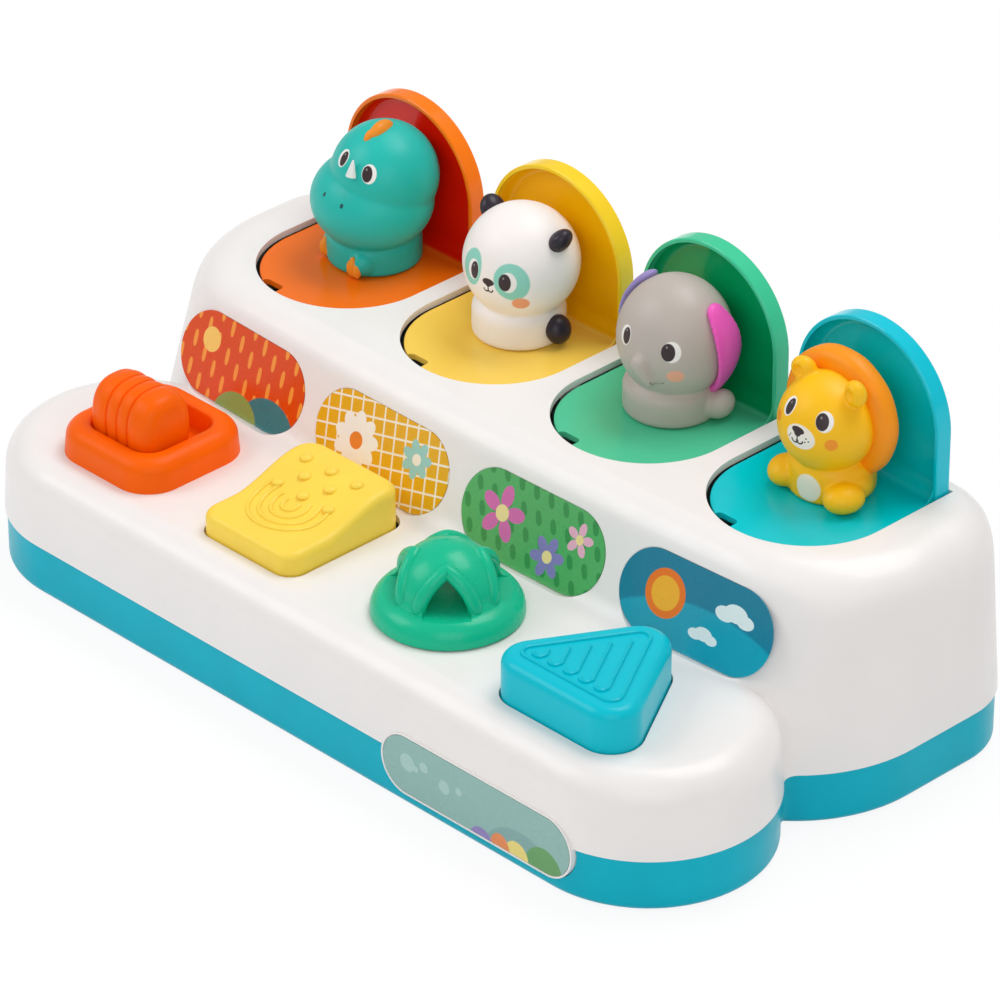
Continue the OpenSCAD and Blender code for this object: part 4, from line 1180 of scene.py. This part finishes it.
class Face:
    """Paints features on a figure's head, each at its yaw and pitch on an egg shape."""

    def __init__(self, name, k, colour, centre, radii, rough=0.42):
        self.finish = Finish(name, colour, rough, 0.0, 0.4)
        self.k, self.centre, self.radii = k, centre, radii

    def place(self, yaw, pitch):
        spot = on_ball(self.centre, self.radii, yaw, pitch)
        return (spot.x + UNIT_X[self.k], spot.y, spot.z)

    def dot(self, yaw, pitch, width, height, colour, roll=0.0, soft=0.05):
        radii, turn = (width / 2, 5, height / 2), (-pitch, roll, yaw)
        self.finish.paint(colour, self.finish.spot(self.place(yaw, pitch), radii, turn, soft))

    def eye(self, yaw, pitch, width, height, white):
        """A dark oval pupil over a white one that shows round its outer side, with a soft grey painted
        highlight on the pupil's upper left.
        """
        self.dot(yaw + white, pitch + abs(white) * 0.1, width + 1.7, height + 1.2, "#f6f3ef")
        self.dot(yaw, pitch, width, height, DARK)
        # Painted highlight: a soft grey glint on the pupil, where the lamp's reflection falls.
        self.dot(yaw - 1.5, pitch + 4.5, 0.7, 0.9, "#8d8588", 0.0, 0.3)

    def smile(self, yaw, pitch, width, height, thick, colour, roll=0.0):
        """The lower half of an oval's outline."""
        f = self.finish
        local = f.local(self.place(yaw, pitch), (-pitch, roll, yaw), (width / 2, 5, height / 2))
        from_line = f.math("ABSOLUTE", f.math("SUBTRACT", f.length(local), 1.0))
        line = f.ramp(from_line, thick * 1.3, thick)
        f.paint(colour, f.times(line, f.ramp(f.split(local)["Z"], 0.05, -0.05)))

    def done(self):
        return self.finish.done(**VINYL)


def dinosaur():
    head, head_r = (4.7, 58.6, 122.2), (19.9, 20.0, 20.2)
    muzzle, muzzle_r = (1.4, 55.4, 112.2), (23, 22.4, 18.2)
    feet = [(-10.4, 49.0), (8.0, 45.2)]
    bm = bmesh.new()
    foot_column(bm, 17.6, 101, y=57.5)
    blob(bm, head, head_r, segments=64)
    blob(bm, muzzle, muzzle_r, segments=64)
    for x, y in feet:
        blob(bm, (x, y, 92.4), (5.0, 6.2, 5.4))
    bm = bore(soft_union(bm))
    face = Face("vinyl_teal", 0, "#16bdb1", head, head_r)
    face.eye(-13.3, 32.1, 3.5, 5.8, -1.6)
    face.eye(26.6, 25.6, 3.9, 6.0, 2.2)
    face.centre, face.radii = muzzle, muzzle_r
    face.dot(-10.1, 29.2, 1.3, 1.9, "#1f4f52", 10)
    face.dot(14.4, 24.6, 1.4, 1.9, "#1f4f52", 10)
    figure_piece(0, bm, "body", face.done(), ["dinosaur"])

    horn = bmesh.new()
    bmesh.ops.create_cone(horn, cap_ends=True, segments=32, radius1=2.2, radius2=0.4, depth=6.4)
    bmesh.ops.scale(horn, vec=(1, 0.85, 1), verts=horn.verts)
    at = on_ball(head, head_r, 8.3, 27) + Vector((0.2, -1.0, 0.8))
    place(horn, horn.verts, Matrix.Translation(at) @ Matrix.Rotation(radians(-12), 4, "X"))
    figure_piece(0, soft_union(horn, 0.22, 5), "horn", vinyl("horn", "#e9f1ef", 0.4))

    crest = bmesh.new()
    blob(crest, (5.4, 56.8, 140.3), (3.1, 6.2, 4.3), (-3, 0, 8), 32)
    blob(crest, (4.9, 52.0, 139.0), (2.0, 3.8, 3.6), (-20, 0, 8), 32)
    figure_piece(0, soft_union(crest, 0.35), "crest", vinyl("orange", "#f2911f"))

    claws = bmesh.new()
    for x, y in feet:
        for toe in (-1, 0, 1):
            side = abs(toe)
            at = (x - 0.6 + toe * 1.7, y - 5.4 + side * 0.5, 92.0 - side * 1.2)
            blob(claws, at, (1.6, 1.6, 4.2 - side), segments=20)
    figure_piece(0, soft_union(claws, 0.25, 3), "claws", vinyl("claws", "#f39a2a"))


def panda():
    head, head_r = (1.1, 57, 116.2), (21.2, 21.2, 21.1)
    bm = bmesh.new()
    foot_column(bm, 17.0, 102, 2.0)
    blob(bm, head, head_r, segments=64)
    bm = bore(soft_union(bm, rounds=5))
    face = Face("vinyl_white", 1, "#faf3ef", head, head_r)
    mint = "#8fd6c4"
    face.dot(-12.5, 8.5, 10.5, 14.5, mint, 6)
    face.dot(35.5, 4.5, 13.4, 14.6, mint, -18)
    face.eye(-7, 7.3, 4.0, 6.6, -2.0)
    face.eye(28.9, 4.0, 4.6, 6.6, 3.4)
    face.dot(11.3, 1.0, 4.8, 2.8, DARK)
    face.dot(11.3, -0.6, 2.6, 2.6, DARK)
    face.dot(11.3, -4.6, 0.5, 4.2, DARK)
    for yaw in (8.9, 13.9):
        face.smile(yaw, -6.4, 1.9, 2.4, 0.22, DARK)
    face.dot(44.7, -19.5, 6.4, 5.4, "#f6a57c", 0, 0.1)
    figure_piece(1, bm, "body", face.done(), ["panda"])
    black = vinyl("black", "#2c2430", 0.36)
    ears, arms = bmesh.new(), bmesh.new()
    for side in (-1, 1):
        blob(ears, (1.4 + side * 16.8, 59.0, 129.4), (3.5, 4.9, 5.6), (0, side * 38, side * 10))
        blob(arms, (side * 18.2, 58.5, 94.0), (4.0, 5.2, 5.4), (0, side * -18, 0))
    trim_below(arms, TRAY_Z + 0.4)
    figure_piece(1, ears, "ears", black)
    figure_piece(1, arms, "arms", black)


def elephant():
    head, head_r = (0.9, 57.5, 115.9), (20.8, 20.6, 22.4)
    bm = bmesh.new()
    foot_column(bm, 17.2, 101, 2.0)
    blob(bm, head, head_r, segments=64)
    trunk_steps, ear_steps = 8, 12
    for i in range(trunk_steps + 1):
        t = i / trunk_steps
        size = 3.5 - 0.8 * t
        blob(bm, on_ball(head, head_r, 8 + 8 * t, -4 - 16 * t), (size * 0.95, size, size), segments=28)
    for side in (-1, 1):
        blob(bm, (side * 18.0, 62.5, 93.4), (4.6, 6.0, 5.4), (20, 0, side * -14))
    trim_below(bm, TRAY_Z)
    bm = bore(soft_union(bm))
    face = Face("vinyl_grey", 2, "#beb4ac", head, head_r)
    face.eye(-13.4, 13.2, 4.0, 6.2, -1.6)
    face.eye(36.7, 10.0, 5.0, 6.6, 3.4)
    # Painted shade: a thin darker grey curve under the mouth's moulded bump, where shade falls.
    face.smile(26, -19, 4.4, 3.0, 0.09, "#8a827c", 12)
    face.dot(44.2, -12.6, 6.2, 5.2, "#f0ac90", 0, 0.12)
    figure_piece(2, bm, "body", face.done(), ["elephant"])
    ears = [("pink", "#f45cc0", 1, (34, -72), (99, 13), 5.8),
            ("purple", "#9a8cc8", -1, (45, -78), (-93, 0), 5.0)]
    for name, colour, side, (pitch0, drop), (yaw0, back), swell in ears:
        ear = bmesh.new()
        for i in range(ear_steps + 1):
            t = i / ear_steps
            yaw, pitch = yaw0 + back * t, pitch0 + drop * t
            at = on_ball(head, head_r, yaw, pitch) + facing(yaw, pitch) * 0.9
            wide = 2.2 + swell * sin(pi * (0.08 + 0.84 * t)) ** 0.7
            blob(ear, at, (1.9, wide, 4.6), (0, -side * pitch, yaw - side * 90), 28)
        figure_piece(2, soft_union(ear, 0.45, 8), "ear_" + name, vinyl(name, colour, 0.4))


def lion():
    head, head_r = (0.6, 55, 114.6), (17.8, 17.8, 17.7)
    bm, cups = bmesh.new(), bmesh.new()
    foot_column(bm, 15.5, 102, 2.0, 58)
    blob(bm, head, head_r, segments=64)
    for side in (-1, 1):
        ear_turn = (10, side * 24, side * -12)
        blob(bm, (2.4 + side * 12.0, 53, 131.2), (4.8, 3.6, 5.0), ear_turn, 32)
        blob(bm, (1.5 + side * 13.6, 47.8, 92.4), (6.3, 7.6, 5.2), (0, 0, side * -24))
        blob(bm, (1 + side * 11, 56, 93), (6, 8, 6))
        blob(cups, (2.3 + side * 11.8, 49.0, 131.7), (2.6, 2.2, 2.8), ear_turn, 24)
    trim_below(bm, TRAY_Z)
    body = bore(cut(soft_union(bm), cups))
    face = Face("vinyl_yellow", 3, "#ffc300", head, head_r, 0.45)
    face.dot(8.9, 4.2, 11.6, 8.8, "#f4ebdf", 8)
    face.eye(-17.9, 31.5, 3.8, 6.2, -1.4)
    face.eye(34.4, 27.0, 4.6, 6.2, 2.8)
    face.dot(5.6, 11.6, 5.2, 2.6, DARK, 4)
    face.dot(5.6, 9.4, 3.0, 3.2, DARK, 4)
    face.dot(5.8, 3.6, 0.5, 5.2, DARK)
    for yaw in (2.6, 9.2):
        face.smile(yaw, 0.4, 2.5, 2.6, 0.2, DARK)
    for yaw, pitch in ((17, 4.4), (20, 1.5), (16, 0), (-4, 4), (-6, 1)):
        face.dot(yaw, pitch, 0.6, 0.6, DARK)
    cheek = "#f9961a"
    face.dot(45.8, 0.5, 4.6, 4.4, cheek, 0, 0.12)
    face.dot(-34, 12, 4.2, 4.2, cheek, 0, 0.12)
    belly = face.finish.spot((UNIT_X[3] + 2.7, 43.5, 93.4), (4.8, 5.5, 5.2))
    face.finish.paint("#f3e7d2", belly)
    figure_piece(3, body, "body", face.done(), ["lion"])

    (x, y, z), reach, thick, edge = (-0.8, 63.2, 114.2), 24.0, 5.0, 4.4
    front = [(-thick - 0.4, 12)] + [(inward - thick, below) for inward, below in quarter(edge, 15)]
    stations = front + [(-along, drop) for along, drop in front[::-1]]
    angles = [a * pi / 60 for a in range(120)]
    waves = [1 + 0.004 * cos(a * 10) for a in angles]
    mane = solid([[(x + (reach - drop) * wave * cos(a), y + along, z + (reach - drop) * wave * sin(a))
                   for a, wave in zip(angles, waves)] for along, drop in stations])
    figure_piece(3, mane, "mane", vinyl("mane", "#ff9800", 0.45))


# Per lid: the outside colour, the deeper painted-shade colour of the hollow, and the tray's tone.
LID_COLOURS = [("#ff7d00", "#ff1c00", "#ff7610"), ("#ffd626", "#ffbe00", "#ffd55a"),
               ("#40ce9c", "#00a664", "#4fcb9c"), ("#00c8dc", "#00ccd6", "#00ccd6")]

housing_cover()
bottom_shell()
for unit, colours in enumerate(LID_COLOURS):
    lid(unit, lid_plastic(unit, *colours))
for make in (slider_bezel, slider_knob, rocker_key, rotary_knob, triangle_button):
    make()
for make in (dinosaur, panda, elephant, lion):
    make()
for unit in range(4):
    lid_spring(unit)
    latch_spring(unit)
finish_nodes(STEEL, "housing_screws", "bracket_screws")
finish_nodes(INNER_PLASTIC, "knob_cam")
for unit, figure in zip(UNITS, FIGURES):
    finish_nodes(STEEL, figure + "_screw", unit + "_hinge_pin", unit + "_latch_pin")
    finish_nodes(INNER_PLASTIC, unit + "_hinge_bracket", unit + "_latch")
LABEL_PRINTS = {"orange": orange_print, "yellow": yellow_print, "green": green_print, "blue": blue_print,
                "front": front_print}
for label, label_print in LABEL_PRINTS.items():
    finish_nodes(label_print().done(mottle=0.01), label + "_label")


# ---- Floor, light and camera ----

def floor():
    """A pale floor that takes the object's shadow and looks white to the camera and in reflections."""
    bm = bmesh.new()
    bmesh.ops.create_grid(bm, x_segments=2, y_segments=2, size=6.0)
    mesh = bpy.data.meshes.new("floor")
    bm.to_mesh(mesh)
    bm.free()
    obj = bpy.data.objects.new("floor", mesh)
    obj.location.z = CAD_BOX[0][2] - 0.0002
    bpy.context.scene.collection.objects.link(obj)
    mat = bpy.data.materials.new("floor_paper")
    mat.use_nodes = True
    tree = mat.node_tree
    tree.nodes.clear()

    def math(operation, a, b, clamped=False):
        return shader_node(tree, "Math", {0: a, 1: b}, operation=operation, use_clamp=clamped)

    ray = shader_node(tree, "LightPath", {}).node.outputs
    mirrored = math("MAXIMUM", ray["Is Glossy Ray"], ray["Is Transmission Ray"])
    share = math("MULTIPLY", math("ADD", ray["Is Camera Ray"], mirrored, True), 0.86)
    paper = shader_node(tree, "BsdfDiffuse", {"Color": (0.9, 0.9, 0.9, 1)})
    white = shader_node(tree, "Emission", {"Strength": 1.03})
    mixed = shader_node(tree, "MixShader", {0: share, 1: paper, 2: white})
    tree.links.new(mixed, tree.nodes.new("ShaderNodeOutputMaterial").inputs[0])
    mesh.materials.append(mat)


def lamp(name, at, size, power):
    """A soft rectangular lamp that is turned to the object."""
    data = bpy.data.lights.new(name, "AREA")
    data.shape = "RECTANGLE"
    data.size, data.size_y = size
    data.energy = power
    obj = bpy.data.objects.new(name, data)
    obj.location = at
    middle = Vector((0, 0, 0.05))
    obj.rotation_euler = (middle - Vector(at)).to_track_quat("-Z", "Y").to_euler()
    bpy.context.scene.collection.objects.link(obj)


def studio():
    """Three lamps, and a plain world that the camera sees as white."""
    world = bpy.data.worlds.new("studio")
    bpy.context.scene.world = world
    world.use_nodes = True
    tree = world.node_tree
    ray = shader_node(tree, "LightPath", {}, "Is Camera Ray")
    strength = shader_node(tree, "MapRange", {"Value": ray, "To Min": 0.45, "To Max": 1.0}, "Result")
    back = tree.nodes["Background"].inputs
    back["Color"].default_value = (1, 1, 1, 1)
    tree.links.new(strength, back["Strength"])
    lamp("key", (-0.75, -0.75, 1.0), (0.7, 0.7), 5.0)
    lamp("fill", (0.95, -0.85, 0.75), (0.9, 0.9), 3.6)
    lamp("top", (0.1, 0.5, 1.3), (0.9, 0.6), 8.0)


def camera():
    """The photograph's view: a long lens from the front right, above."""
    azimuth, elevation, distance = radians(45.76), radians(31.03), 2.30842
    target = Vector((-0.01423, 0.02416, 0.04))
    back = Vector((sin(azimuth) * cos(elevation), -cos(azimuth) * cos(elevation), sin(elevation)))
    data = bpy.data.cameras.new("camera")
    data.sensor_width = 36
    data.sensor_fit = "HORIZONTAL"
    data.lens = 233.65
    data.clip_start = 0.1
    data.clip_end = 50
    obj = bpy.data.objects.new("camera", data)
    obj.location = target + back * distance
    obj.rotation_euler = (pi / 2 - elevation, 0, azimuth)
    bpy.context.scene.collection.objects.link(obj)
    bpy.context.scene.camera = obj


floor()
studio()
camera()
bpy.context.scene.view_settings.view_transform = "Standard"
